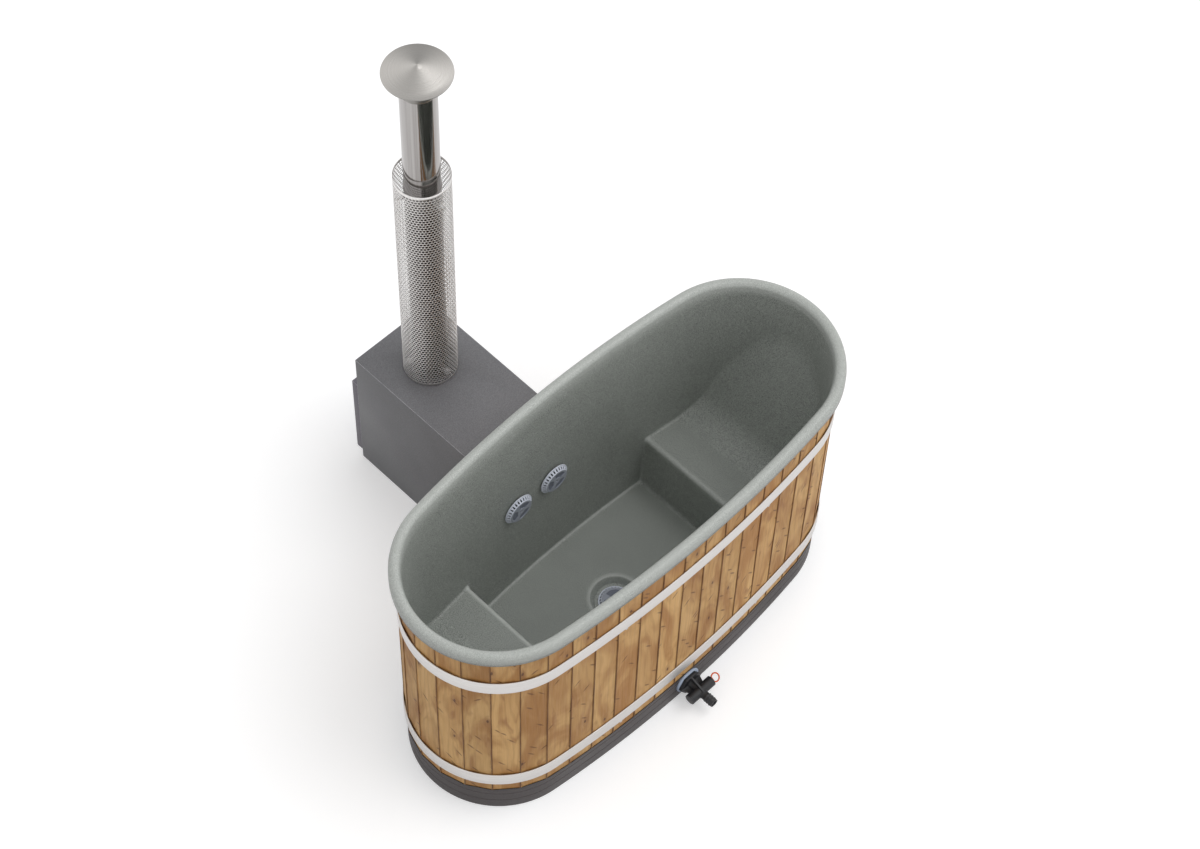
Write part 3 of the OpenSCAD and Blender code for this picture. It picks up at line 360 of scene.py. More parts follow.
def make_wood():
    """A flat-sawn softwood board. Its first coordinate runs across the board and its second along
    it, both in metres. Growth rings are bands that a slow noise bends, fine fibres are noise drawn
    out along the board, and knots and short pitch marks are scattered cells."""
    tree, take, give = group("board_wood", (), Board=0.0, Tone=0.5)
    shift = put(tree, "ShaderNodeCombineXYZ", {
        key: times(tree, take["Board"], far) for key, far in (("X", 7.3), ("Y", 11.9), ("Z", 3.1))})
    v = put(tree, "ShaderNodeVectorMath", {0: take["Vector"], 1: shift.outputs[0]},
            operation="ADD").outputs[0]
    # knots: one candidate in each cell, only some of them kept
    gap, keep = scattered(tree, scaled(tree, v, (15.0, 6.5, 1.0)), 0.9, 0, 0.86)
    wobble = noise(tree, scaled(tree, v, (90.0, 60.0, 1.0)), 1.0, 2.0)
    away = plus(tree, gap, times(tree, wobble, 0.045))
    heart = times(tree, keep, between(tree, away, 0.105, 0.055))
    halo = times(tree, keep, between(tree, away, 0.34, 0.07))
    # growth rings
    slow = noise(tree, scaled(tree, v, (9.0, 1.5, 1.0)), 1.0, 2.0, 0.5)
    bend = plus(tree, times(tree, slow, 7.0), times(tree, halo, 1.3))
    across = put(tree, "ShaderNodeSeparateXYZ", {0: v}).outputs[0]
    ring = calc(tree, "SINE", times(tree, TAU, plus(tree, bend, times(tree, across, 42.0))))
    late = between(tree, ring, 0.15, 1.0)
    fibre = noise(tree, scaled(tree, v, (520.0, 9.0, 1.0)), 1.0, 3.0, 0.6)
    cloud = noise(tree, scaled(tree, v, (9.0, 3.2, 1.0)), 1.0, 3.0, 0.5, 0.8)
    rust = noise(tree, scaled(tree, v, (20.0, 5.0, 1.0), 0.05), 1.0, 2.0, 0.6, 0.9)
    colour = blend(tree, between(tree, cloud, 0.34, 0.66), shade(219, 176, 116),
                   shade(174, 124, 68))
    colour = layered(tree, colour, (times(tree, late, 0.17), shade(141, 92, 47)),
                     (times(tree, between(tree, rust, 0.57, 0.76), 0.60), shade(146, 92, 46)),
                     (between(tree, fibre, 0.35, 0.70, 0.0, 0.12), shade(118, 76, 40)))
    # short dark pitch marks, leaning one way or the other
    for turn, seed, rare in ((0.85, 3.0, 0.925), (-0.75, 9.0, 0.96)):
        aim = scaled(tree, put(tree, "ShaderNodeVectorMath", {0: v, 1: (seed, seed, 0.0)},
                               operation="ADD").outputs[0], (1.0, 1.0, 1.0), turn)
        gap, some = scattered(tree, scaled(tree, aim, (14.0, 66.0, 1.0)), 1.0, 1, rare)
        rough_edge = plus(tree, gap, times(tree, wobble, 0.20))
        mark = times(tree, some, between(tree, rough_edge, 0.42, 0.18))
        colour = blend(tree, times(tree, mark, 0.72), colour, shade(96, 56, 26))
    colour = layered(tree, colour, (times(tree, halo, 0.42), shade(134, 84, 42)),
                     (times(tree, heart, 0.85), shade(84, 48, 24)))
    tone = put(tree, "ShaderNodeHueSaturation", {"Color": colour, "Hue": 0.5, "Saturation": 1.0,
                                                 "Value": take["Tone"]})
    give_all(tree, give, tone.outputs[0], between(tree, fibre, 0.3, 0.7, 0.52, 0.72),
             calc(tree, "SUBTRACT", times(tree, fibre, 0.8),
                  plus(tree, times(tree, late, 0.4), heart)))
    return tree


def make_grain():
    """A fine even texture for paint, plastic, rubber and board: one colour drifts slowly towards a
    second, with small bumps of a given scale."""
    tree, take, give = group("fine_grain", ("Color", "Second"), Scale=300.0, Smooth=0.4,
                             Coarse=0.6)
    drift = noise(tree, take["Vector"], 3.0, 2.0, 0.5)
    bumps = noise(tree, take["Vector"], take["Scale"], 2.0, 0.6)
    amount = plus(tree, between(tree, drift, 0.25, 0.75, 0.0, 0.3),
                  between(tree, bumps, 0.36, 0.64, 0.0, 0.7))
    give_all(tree, give, blend(tree, amount, take["Color"], take["Second"]),
             gloss(tree, drift, take), bumps)
    return tree


def make_brush():
    """Brushed or drawn metal: noise drawn out along the brushing, given as a stretched vector, sets
    small changes of shade, gloss and height."""
    tree, take, give = group("brushed_metal", ("Color", "Second"), Smooth=0.2, Coarse=0.35)
    lines = noise(tree, take["Vector"], 1.0, 4.0, 0.6)
    give_all(tree, give, blend(tree, between(tree, lines, 0.3, 0.72), take["Color"],
                               take["Second"]), gloss(tree, lines, take), lines)
    return tree


SPECKLE, WOOD, GRAIN, BRUSH = make_speckle(), make_wood(), make_grain(), make_brush()
MATERIALS = {}


def finish(name, tree_group, inputs, bump, depth=0.001, vector=None, **plain):
    """A material whose colour, roughness and bump come from one of the groups, and whose other
    numbers are plain values on the shader."""
    material = bpy.data.materials.new(name)
    material.use_nodes = True
    tree = material.node_tree
    tree.nodes.clear()
    out = tree.nodes.new("ShaderNodeOutputMaterial")
    shader = tree.nodes.new("ShaderNodeBsdfPrincipled")
    tree.links.new(shader.outputs[0], out.inputs[0])
    effect = put(tree, "ShaderNodeGroup", node_tree=tree_group)
    place = vector(tree) if vector else coords(tree)
    tree.links.new(place, effect.inputs["Vector"])
    for key, value in inputs.items():
        if isinstance(value, str):
            value = marked(tree, value)
        if isinstance(value, bpy.types.NodeSocket):
            tree.links.new(value, effect.inputs[key])
        else:
            effect.inputs[key].default_value = value
    tree.links.new(effect.outputs["Color"], shader.inputs["Base Color"])
    tree.links.new(effect.outputs["Roughness"], shader.inputs["Roughness"])
    bumped = put(tree, "ShaderNodeBump", {"Height": effect.outputs["Height"], "Strength": bump,
                                          "Distance": depth})
    tree.links.new(bumped.outputs[0], shader.inputs["Normal"])
    for key, value in plain.items():
        shader.inputs[key.replace("_", " ")].default_value = value
    MATERIALS[name] = material
    return material, tree, shader, effect


def stretched(factors):
    return lambda tree: scaled(tree, coords(tree), factors)


def paint(name, colour, second, scale, smooth, coarse, bump, depth=0.0005, wear_and_highlight=None, **plain):
    """Paint, plastic, rubber or board. Its rounded edges may be made lighter towards another
    colour: wear together with a painted highlight along the edges.
    """
    made = finish(name, GRAIN, {"Color": shade(*colour), "Second": shade(*second), "Scale": scale,
                                "Smooth": smooth, "Coarse": coarse}, bump, depth, **plain)
    if wear_and_highlight:
        tree = made[1]
        # edges lighter in patches where the mark "edge" is set: wear and a painted highlight
        patchy = between(tree, noise(tree, coords(tree), 60.0, 3.0), 0.25, 0.6, 0.45, 1.0)
        recolour(made, (times(tree, marked(tree, "edge"), patchy), shade(*wear_and_highlight)))
    return made


def metal(name, colour, second, smooth, coarse, lines, bump=0.05, depth=0.0002, **plain):
    return finish(name, BRUSH, {"Color": shade(*colour), "Second": shade(*second),
                                "Smooth": smooth, "Coarse": coarse}, bump, depth,
                  vector=stretched(lines), Metallic=1.0, **plain)


def liner_material():
    """Stone-fleck plastic, painted paler and made a little smoother where the mark "edge" is set: a
    painted highlight along the rim, the noses, the footwell's inner corner and the drain recess's
    edge.
    """
    made = finish(
        "liner_moulding", SPECKLE, {"Ground": shade(143, 147, 142), "Dark": shade(74, 78, 74),
                                    "Light": shade(206, 210, 204)}, 0.30, 0.0006)
    _, tree, shader, effect = made
    edge = marked(tree, "edge")
    # painted highlight: paler where the mark "edge" is set
    recolour(made, (times(tree, edge, 0.80), shade(206, 209, 205)))
    tree.links.new(calc(tree, "SUBTRACT", effect.outputs["Roughness"],
                        times(tree, edge, 0.10)), shader.inputs["Roughness"])


liner_material()


def stave_material():
    """Oiled wood on each stave's own coordinates, with a dark line along its two joints."""
    made = finish("stave_wood", WOOD, {"Board": "stave", "Tone": "tone"}, 0.35, 0.0006,
                  vector=lambda t: coords(t, "UV"))
    tree = made[1]
    place = coords(tree, "UV")
    u = put(tree, "ShaderNodeSeparateXYZ", {0: place}).outputs[0]
    half = OVAL_LEN / STAVES / 2
    edge = calc(tree, "SUBTRACT", half, calc(tree, "ABSOLUTE", calc(tree, "SUBTRACT", u, half)))
    ragged = times(tree, noise(tree, scaled(tree, place, (40.0, 9.0, 1.0)), 1.0, 2.0), 0.0045)
    stain = between(tree, calc(tree, "SUBTRACT", edge, ragged), 0.0012, -0.0016)
    recolour(made, (times(tree, stain, 0.75), shade(92, 54, 27)))


stave_material()
paint("plinth_wood", (74, 68, 68), (64, 58, 58), 160.0, 0.42, 0.56, 0.25, 0.0006)
finish("inner_wood", WOOD, {"Board": 0.37, "Tone": 1.05}, 0.30, 0.0005)
metal("hoop_steel", (226, 224, 222), (214, 211, 209), 0.40, 0.50, (9.0, 9.0, 900.0), 0.04)
metal("fastener_steel", (214, 214, 214), (190, 190, 191), 0.22, 0.34, (300.0, 300.0, 300.0))
paint("foam_board", (206, 214, 222), (190, 199, 209), 260.0, 0.80, 0.92, 0.5, 0.001)


def fitting_material():
    """Grey-blue plastic, darker where the mark "shaded" is 1 and nearly black where it is 2."""
    made = paint("fitting_plastic", (226, 230, 241), (214, 219, 232), 420.0, 0.30, 0.42, 0.10)
    tree = made[1]
    shaded = marked(tree, "shaded")
    recolour(made, (calc(tree, "MINIMUM", shaded, 1.0), shade(112, 117, 131)),
             (calc(tree, "SUBTRACT", shaded, 1.0, clamp=True), shade(22, 23, 27)))


fitting_material()
paint("pipe_plastic", (62, 63, 66), (50, 51, 54), 420.0, 0.42, 0.55, 0.15)
paint("valve_plastic", (34, 34, 37), (26, 26, 29), 620.0, 0.36, 0.52, 0.22, wear_and_highlight=(54, 54, 58))
paint("seal_rubber", (28, 28, 28), (22, 22, 22), 700.0, 0.55, 0.7, 0.1)
paint("gasket_rubber", (172, 184, 203), (158, 170, 190), 500.0, 0.50, 0.62, 0.12)
paint("ring_plastic", (222, 96, 34), (206, 82, 26), 500.0, 0.30, 0.42, 0.08)
paint("heater_paint", (120, 120, 123), (96, 96, 99), 380.0, 0.40, 0.48, 0.30, 0.0005,
      wear_and_highlight=(182, 182, 186))
paint("door_paint", (124, 120, 129), (102, 99, 107), 380.0, 0.44, 0.52, 0.30, 0.0005,
      wear_and_highlight=(176, 172, 182))
paint("handle_paint", (40, 40, 42), (32, 32, 34), 500.0, 0.38, 0.52, 0.15, wear_and_highlight=(66, 66, 69))
metal("jacket_steel", (150, 150, 152), (128, 128, 130), 0.40, 0.55, (90.0, 90.0, 90.0))
metal("fire_steel", (96, 92, 90), (70, 66, 64), 0.55, 0.75, (60.0, 60.0, 60.0), 0.2)
paint("grate_iron", (62, 58, 56), (48, 45, 44), 300.0, 0.65, 0.8, 0.5, 0.001)
paint("fire_board", (196, 188, 170), (178, 168, 150), 240.0, 0.85, 0.95, 0.5, 0.001)


def flue_material():
    """Polished pipe, painted dull and dark where the mark is set: painted shade on the length that
    stands inside the guard.
    """
    made = metal("flue_steel", (184, 181, 179), (162, 158, 156), 0.06, 0.12,
                 (260.0, 260.0, 1.5), 0.03)
    _, tree, shader, effect = made
    # painted shade: darker and duller where the pipe stands inside the guard
    guard_shade = marked(tree, "guard_shade")
    recolour(made, (guard_shade, shade(58, 50, 45)))
    tree.links.new(plus(tree, effect.outputs["Roughness"], times(tree, guard_shade, 0.10)),
                   shader.inputs["Roughness"])


flue_material()
metal("guard_steel", (240, 238, 236), (222, 219, 217), 0.30, 0.42, (320.0, 320.0, 2.0), 0.03)


def cap_material():
    """Spun steel: brushing runs round the cone, so its lines depend on the distance from its axis.
    At turn t a painted reflection sets its colour 0.5 + 0.40 cos(2t + 94 deg) + 0.10 cos(t + 137
    deg) of the way from dull to bright: two soft lighter sectors painted round the cone, one side a
    little lighter."""
    def centred(tree):
        return put(tree, "ShaderNodeMapping", {"Vector": coords(tree), "Location":
                                               (-FLUE[0], -FLUE[1], 0)}).outputs[0]

    def place(tree):
        part = put(tree, "ShaderNodeSeparateXYZ", {0: centred(tree)})
        flat = put(tree, "ShaderNodeCombineXYZ", {0: part.outputs[0], 1: part.outputs[1]})
        far = put(tree, "ShaderNodeVectorMath", {0: flat.outputs[0]}, operation="LENGTH")
        return put(tree, "ShaderNodeCombineXYZ", {
            0: times(tree, far.outputs["Value"], 1500.0),
            1: times(tree, part.outputs[0], 3.0),
            2: times(tree, part.outputs[1], 3.0)}).outputs[0]

    _, tree, shader, effect = finish(
        "cap_steel", BRUSH, {"Color": shade(255, 255, 255), "Second": shade(238, 237, 236),
                             "Smooth": 0.24, "Coarse": 0.34},
        0.05, 0.0002, vector=place, Metallic=1.0, Anisotropic=0.75)
    tangent = put(tree, "ShaderNodeTangent", direction_type="RADIAL", axis="Z")
    tree.links.new(tangent.outputs[0], shader.inputs["Tangent"])
    # painted reflection: fixed lighter sectors round the axis, multiplied into the base colour
    round_ = put(tree, "ShaderNodeTexGradient", {"Vector": centred(tree)}, gradient_type="RADIAL")
    turn = calc(tree, "MULTIPLY_ADD", round_.outputs["Fac"], TAU, -np.pi)
    pair = calc(tree, "COSINE", calc(tree, "MULTIPLY_ADD", turn, 2.0, np.radians(94)))
    one = calc(tree, "COSINE", plus(tree, turn, np.radians(137)))
    light = plus(tree, calc(tree, "MULTIPLY_ADD", pair, 0.40, 0.5),
                 times(tree, one, 0.10))
    painted_reflection = blend(tree, light, shade(146, 144, 141), shade(202, 199, 195))
    tree.links.new(blend(tree, 1.0, effect.outputs["Color"], painted_reflection, "MULTIPLY"),
                   shader.inputs["Base Color"])


cap_material()


# ---------------------------------------------------------------- camera, floor, light
def unit(vector):
    return vector / np.linalg.norm(vector)


def axes(x, y, z, place=(0, 0, 0)):
    """The placing of an object by its three axes and its place."""
    matrix = np.eye(4)
    matrix[:3] = np.stack([x, y, z, place], 1)
    return Matrix(matrix.tolist())


def rays(tree):
    """1 for a ray straight from the camera, and 1 for one that comes from it, a mirror or glass."""
    path = put(tree, "ShaderNodeLightPath").outputs
    other = calc(tree, "MAXIMUM", path["Is Glossy Ray"], path["Is Transmission Ray"])
    return path["Is Camera Ray"], calc(tree, "MAXIMUM", path["Is Camera Ray"], other)


def set_camera():
    """The photograph's own view: the camera's place, and its turn, dip and roll."""
    turn, dip, roll = np.radians([43.16, -56.66, 2.38])
    ahead = np.array([np.cos(dip) * np.cos(turn), np.cos(dip) * np.sin(turn), np.sin(dip)])
    right = unit(np.cross(ahead, [0, 0, 1]))
    up = np.cross(right, ahead)
    right, up = (np.cos(roll) * right + np.sin(roll) * up,
                 np.cos(roll) * up - np.sin(roll) * right)
    data = bpy.data.cameras.new("photo_camera")
    data.sensor_width, data.lens, data.clip_end = 36.0, 86.114, 200.0
    camera = bpy.data.objects.new("photo_camera", data)
    camera.matrix_world = axes(right, up, -ahead, (-3.4621, -3.1448, 8.3100))
    scene.collection.objects.link(camera)
    scene.camera = camera
    return right


def set_floor():
    """A wide white floor. What the camera and mirrors see of it is lifted to white where no shadow
    lies; the light that it gives back to the object isn't."""
    half, level = 30.0, -0.0006
    corners = [(x * half, y * half, level) for x, y in ((-1, -1), (1, -1), (1, 1), (-1, 1))]
    mesh = mesh_of("floor", corners, [[(0, 1, 2, 3)]])
    floor = bpy.data.objects.new("floor", mesh)
    scene.collection.objects.link(floor)
    material = bpy.data.materials.new("floor_white")
    material.use_nodes = True
    tree = material.node_tree
    tree.nodes.clear()
    base = put(tree, "ShaderNodeBsdfDiffuse", {"Color": (0.86, 0.86, 0.865, 1)})
    given = put(tree, "ShaderNodeBsdfDiffuse", {"Color": (0.32, 0.32, 0.32, 1)})
    camera, seen = rays(tree)
    lift = put(tree, "ShaderNodeEmission", {
        "Color": (1, 1, 1, 1), "Strength": calc(tree, "MULTIPLY_ADD", camera, 0.16, 0.12)})
    both = put(tree, "ShaderNodeAddShader", {0: base.outputs[0], 1: lift.outputs[0]})
    mixed = put(tree, "ShaderNodeMixShader", {0: seen, 1: given.outputs[0], 2: both.outputs[0]})
    put(tree, "ShaderNodeOutputMaterial", {"Surface": mixed.outputs[0]})
    mesh.materials.append(material)


def set_light(right):
    """Light from all round that grows towards the photograph's right, and one broad soft lamp
    from there."""
    world = bpy.data.worlds.new("studio")
    scene.world = world
    world.use_nodes = True
    tree = world.node_tree
    tree.nodes.clear()
    seen = rays(tree)[1]
    aim = put(tree, "ShaderNodeVectorMath", {
        0: coords(tree, "Generated"), 1: (right[0], right[1], 0.0)},
        operation="DOT_PRODUCT").outputs["Value"]
    level = put(tree, "ShaderNodeBackground", {
        "Color": (1, 1, 1, 1), "Strength": calc(tree, "MULTIPLY_ADD", aim, 0.28, 0.85)})
    white = put(tree, "ShaderNodeBackground", {"Color": (1, 1, 1, 1), "Strength": 1.0})
    mixed = put(tree, "ShaderNodeMixShader", {0: seen, 1: level.outputs[0], 2: white.outputs[0]})
    put(tree, "ShaderNodeOutputWorld", {"Surface": mixed.outputs[0]})
    lamp = bpy.data.lights.new("softbox", "SUN")
    lamp.energy, lamp.angle = 0.60, np.radians(34)
    holder = bpy.data.objects.new("softbox", lamp)
    away = unit(unit(right * (1, 1, 0)) * 0.50 + np.array([0.02, 0.0, 1.0]))
    side = unit(np.cross([0, 1, 0], away))
    holder.matrix_world = axes(side, np.cross(away, side), away)
    scene.collection.objects.link(holder)


set_floor()
set_light(set_camera())
scene.view_settings.view_transform = "Standard"


# ---------------------------------------------------------------- liner
FLOOR_Z, SEAT_Z = 0.175, 0.400
PATCH, PATCH_N = 0.11, 7  # the square left at the drain: half its side, and its steps
FILLET = 0.010
WALL_TOP, WALL_IN, WALL_SLOPE = 0.985, 0.0195, 0.0463
WALL_COS = 0.99893  # of the wall's lean, so that a level distance becomes a square one
BACK_LEAN, BACK_R, BACK_AT = 24, 0.13, 0.53
SECTION_END = 0.42  # where the sections stop running straight to the middle line
SKIN = 0.005


def seat_profile():
    """The liner's floor line in side view, for one half: floor, fillet, riser, nose, seat, hollow
    of one radius, and a straight backrest that leans by BACK_LEAN degrees."""
    bend = rounded([(0, FLOOR_Z), (0.381, FLOOR_Z), (0.401, SEAT_Z), (0.529, SEAT_Z), (0.529, 2)],
                   [0, 0.014, 0.014, 0, 0], 6)
    riser = np.linspace(bend[7], bend[8], 13)
    hollow = np.radians(np.linspace(-90, -BACK_LEAN, 24))
    arc = BACK_AT + BACK_R * np.stack([np.cos(hollow), np.sin(hollow)], -1)
    top = arc[-1] + np.array([np.tan(np.radians(BACK_LEAN)), 1.0]) * 0.57
    return np.concatenate([bend[:8], riser[1:-1], bend[8:15], arc, [top]])


PROFILE = seat_profile()


def floor_height(x):
    return np.interp(x, PROFILE[:, 0], PROFILE[:, 1])


def wall_offset(z):
    """How far the liner's inner wall stands in from the oval at height z."""
    return WALL_IN + (WALL_TOP - z) * WALL_SLOPE


def depth_in(x, y):
    """How far a plan point of the +X +Y quarter lies inside the oval."""
    on_side = x * END_TAN[1] < (y - SIDE_Y) * END_TAN[0]
    return np.where(on_side, SIDE_R - np.hypot(x, y - SIDE_Y), END_R - np.hypot(x - END_X, y))


def wall_gap(x, y, z):
    return (depth_in(x, y) - wall_offset(z)) * WALL_COS


def over_profile(x, z):
    """Signed distance from a point in side view to the floor line, positive above it."""
    a, b = PROFILE[:-1], PROFILE[1:]
    ab = b - a
    long = (ab ** 2).sum(1)
    px, pz = x[:, None] - a[None, :, 0], z[:, None] - a[None, :, 1]
    t = np.clip((px * ab[:, 0] + pz * ab[:, 1]) / long, 0, 1)
    gap = (px - t * ab[:, 0]) ** 2 + (pz - t * ab[:, 1]) ** 2
    k = gap.argmin(1)
    r = np.arange(len(x))
    turn = ab[k, 0] * pz[r, k] - ab[k, 1] * px[r, k]
    return np.sqrt(gap[r, k]) * np.where(turn >= 0, 1.0, -1.0)


def hollow_gap(p):
    """Signed distance to the liner's inner face: the lesser of the distances to wall and floor
    line, joined by an arc of the fillet's radius where both are near."""
    wall, over = wall_gap(*p.T), over_profile(p[:, 0], p[:, 2])
    both = (wall < FILLET) & (over < FILLET)
    arc = FILLET - np.hypot(FILLET - wall, FILLET - over)
    return np.where(both, arc, np.minimum(wall, over))


def settle(p, rounds=6, step=1e-4):
    """Moves points on to the inner face, each along the slope of the distance there."""
    for _ in range(rounds):
        here = hollow_gap(p)
        slope = np.stack([(hollow_gap(p + d) - hollow_gap(p - d)) / (2 * step)
                          for d in np.eye(3) * step], -1)
        size = np.maximum((slope ** 2).sum(1), 0.3)
        p = p - slope * (here / size)[:, None]
    return p


def make_liner():
    """One quarter is a grid of sections. Each section starts on the oval, goes over the rolled rim,
    down the wall and in across the floor line to the middle line, and the corners are rounded by
    settling the points on to the inner face. A round recess fills the square left at the drain."""
    unit = PATCH / PATCH_N
    low = np.arange(0, PATCH_N + 1) * unit
    mid_x = np.concatenate([low, np.linspace(PATCH, 0.345, 9)[1:], np.arange(0.349, 0.3665, 0.004),
                            PROFILE[1:27, 0]])
    mid_x = np.unique(np.round(mid_x[mid_x < SECTION_END - 0.0005], 6))
    mid_x = mid_x[np.concatenate([[True], np.diff(mid_x) > 0.0004])]
    mid_x = np.append(mid_x, SECTION_END)
    s_mid = END_LEN + SIDE_LEN / 2 - np.arcsin(mid_x / SIDE_R) * SIDE_R
    t = np.linspace(0, 1, 41)[1:]
    s = np.concatenate([s_mid, s_mid[-1] * (1 - t)])
    start, out = oval_point(s), outward(s)
    run, ease = 0.28, 0.3
    power = (s_mid[-1] / run - ease) / (1 - ease)
    eased = ease * t + (1 - ease) * (1 - (1 - t) ** power)
    inner_x = np.concatenate([mid_x, SECTION_END + run * eased])
    inner = np.stack([inner_x, np.zeros_like(inner_x)], -1)
    length = np.hypot(*(inner - start).T)
    aim = (inner - start) / length[:, None]
    # rim: skirt, half round, inner side
    a = np.radians(np.linspace(0, 180, 13))
    rim = np.concatenate([[(0.020, 0.975), (0.020, 0.990)],
                          np.stack([0.0015 + 0.0185 * np.cos(a), 0.9975 + 0.0185 * np.sin(a)], -1),
                          [(-0.0180, 0.991)]])
    rim_points = swept(start, out, rim)

    def along(dist, z):
        return np.concatenate([start[:, None] + aim[:, None] * dist[..., None], z[..., None]], -1)

    def reach(z):
        """Distance along each section's line at which it crosses the wall at height z."""
        r = oval(s)[2]
        b = r * (aim * out).sum(1)
        c = r ** 2 - (r - wall_offset(z)) ** 2
        return -b - np.sqrt(np.maximum(b * b - c, 0))

    lo, hi = np.full(len(s), FLOOR_Z), np.full(len(s), 0.98)
    for _ in range(40):
        z = (lo + hi) / 2
        above = z > floor_height(start[:, 0] + aim[:, 0] * reach(z))
        hi, lo = np.where(above, z, hi), np.where(above, lo, z)
    foot_z, foot = z, reach(z)
    near = 0.020
    fine = np.linspace(near, 0, 9)
    drop = (foot_z + near - WALL_TOP)[:, None] * np.linspace(0, 1, 17)[None, :-1]
    wall_z = np.concatenate([WALL_TOP + drop, foot_z[:, None] + fine[None, :]], 1)
    wall_d = np.stack([reach(z) for z in wall_z.T], -1)
    left = length - foot
    close = np.minimum(near, left * 0.3)
    patch = np.where(inner_x <= SECTION_END + 0.0001, PATCH, np.minimum(PATCH, left * 0.4))
    in_a = foot[:, None] + close[:, None] * np.linspace(0, 1, 9)[None, 1:]
    in_b = in_a[:, -1:] + (length - patch - in_a[:, -1])[:, None] * np.linspace(0, 1, 18)[None, 1:]
    in_c = (length - patch)[:, None] + patch[:, None] * np.linspace(0, 1, PATCH_N + 1)[None, 1:]
    floor_d = np.concatenate([in_a, in_b, in_c], 1)
    floor_z = floor_height(start[:, :1] + aim[:, :1] * floor_d)
    inside = np.concatenate([along(wall_d, wall_z), along(floor_d, floor_z)], 1)
    rows, cols = inside.shape[:2]
    fixed = inside.copy()
    inside = settle(inside.reshape(-1, 3)).reshape(rows, cols, 3)
    inside[:, :2] = fixed[:, :2]
    inside[0, :, 0] = 0
    inside[-1, :, 1] = 0
    inside[:, -1, 1] = 0
    flat = slice(cols - PATCH_N - 1, cols)
    inside[:PATCH_N + 1, flat] = fixed[:PATCH_N + 1, flat]
    points = np.concatenate([rim_points, inside], 1)
    cols = points.shape[1]
    quads = grid_faces(rows, cols)
    i, j = np.divmod(quads[:, 0], cols)
    quads = quads[~((i < PATCH_N) & (j >= cols - 1 - PATCH_N))]
    # drain recess: from the square to a circle, then down its turned profile
    k = np.arange(2 * PATCH_N + 1)
    square = np.stack([np.minimum(PATCH_N, 2 * PATCH_N - k), np.minimum(PATCH_N, k)], -1) * unit
    angle = k * np.pi / 2 / (2 * PATCH_N)
    round_ = np.stack([np.cos(angle), np.sin(angle)], -1)
    line = rounded([(0.1, FLOOR_Z), (0.0835, FLOOR_Z), (0.0685, 0.152), (0.0205, 0.152)],
                   [0, 0.007, 0.006, 0], 5)
    rings = [square] + [0.5 * square + 0.5 * round_ * 0.102] + [round_ * r for r in line[:, 0]]
    heights = np.concatenate([[FLOOR_Z, FLOOR_Z], line[:, 1]])
    recess = np.stack([np.concatenate([ring, np.full((len(ring), 1), h)], 1)
                       for ring, h in zip(rings, heights)])
    patch_quads = grid_faces(len(rings), len(k), start=rows * cols)
    quarter = np.concatenate([points.reshape(-1, 3), recess.reshape(-1, 3)])
    faces = np.concatenate([quads, patch_quads])
    all_points, all_faces = [], []
    for n, (mx, my) in enumerate(((1, 1), (-1, 1), (-1, -1), (1, -1))):
        all_points.append(quarter * (mx, my, 1))
        turned_faces = faces if mx * my > 0 else faces[:, ::-1]
        all_faces.append(turned_faces + n * len(quarter))
    whole = np.concatenate(all_points)
    ax, ay, az = np.abs(whole).T
    # painted highlights, marked "edge": rim, noses (the step's more than the seat's, as the light
    # falls on it), the footwell's inner corner and the drain recess's edge
    nose = np.clip(1.6 - np.hypot(ax - 0.404, az - (SEAT_Z - 0.004)) / 0.010, 0, 1)
    # the step's nose faces the light, so it takes more painted highlight than the seat's
    nose *= np.where(whole[:, 0] < 0, 0.95, 0.40)
    wall = wall_gap(ax, ay, az)
    crease_highlight = np.clip(1.3 * (1 - np.maximum(wall, over_profile(ax, az)) / FILLET), 0, 1) ** 2
    crease_highlight *= np.clip((0.24 - az) / 0.06, 0, 1)
    lip_highlight = np.clip(1.3 - np.abs(np.hypot(ax, ay) - 0.0865) / 0.006, 0, 1) * (az < 0.18)
    rim_highlight = np.clip((az - 0.975) / 0.02, 0, 1)
    # all of these are painted highlight, laid into the colour through the mark "edge"
    edge = np.max([0.45 * rim_highlight, nose, 0.60 * crease_highlight, 0.60 * lip_highlight], 0)
    obj = add("liner_shell", whole, [np.concatenate(all_faces)], "tub", "liner_moulding", "liner",
              60, 2e-5, turn=False, marks={"edge": edge})
    skin = obj.modifiers.new("wall", "SOLIDIFY")
    skin.thickness, skin.offset, skin.use_even_offset = SKIN, -1.0, True
    skin.thickness_clamp = 1.0


make_liner()


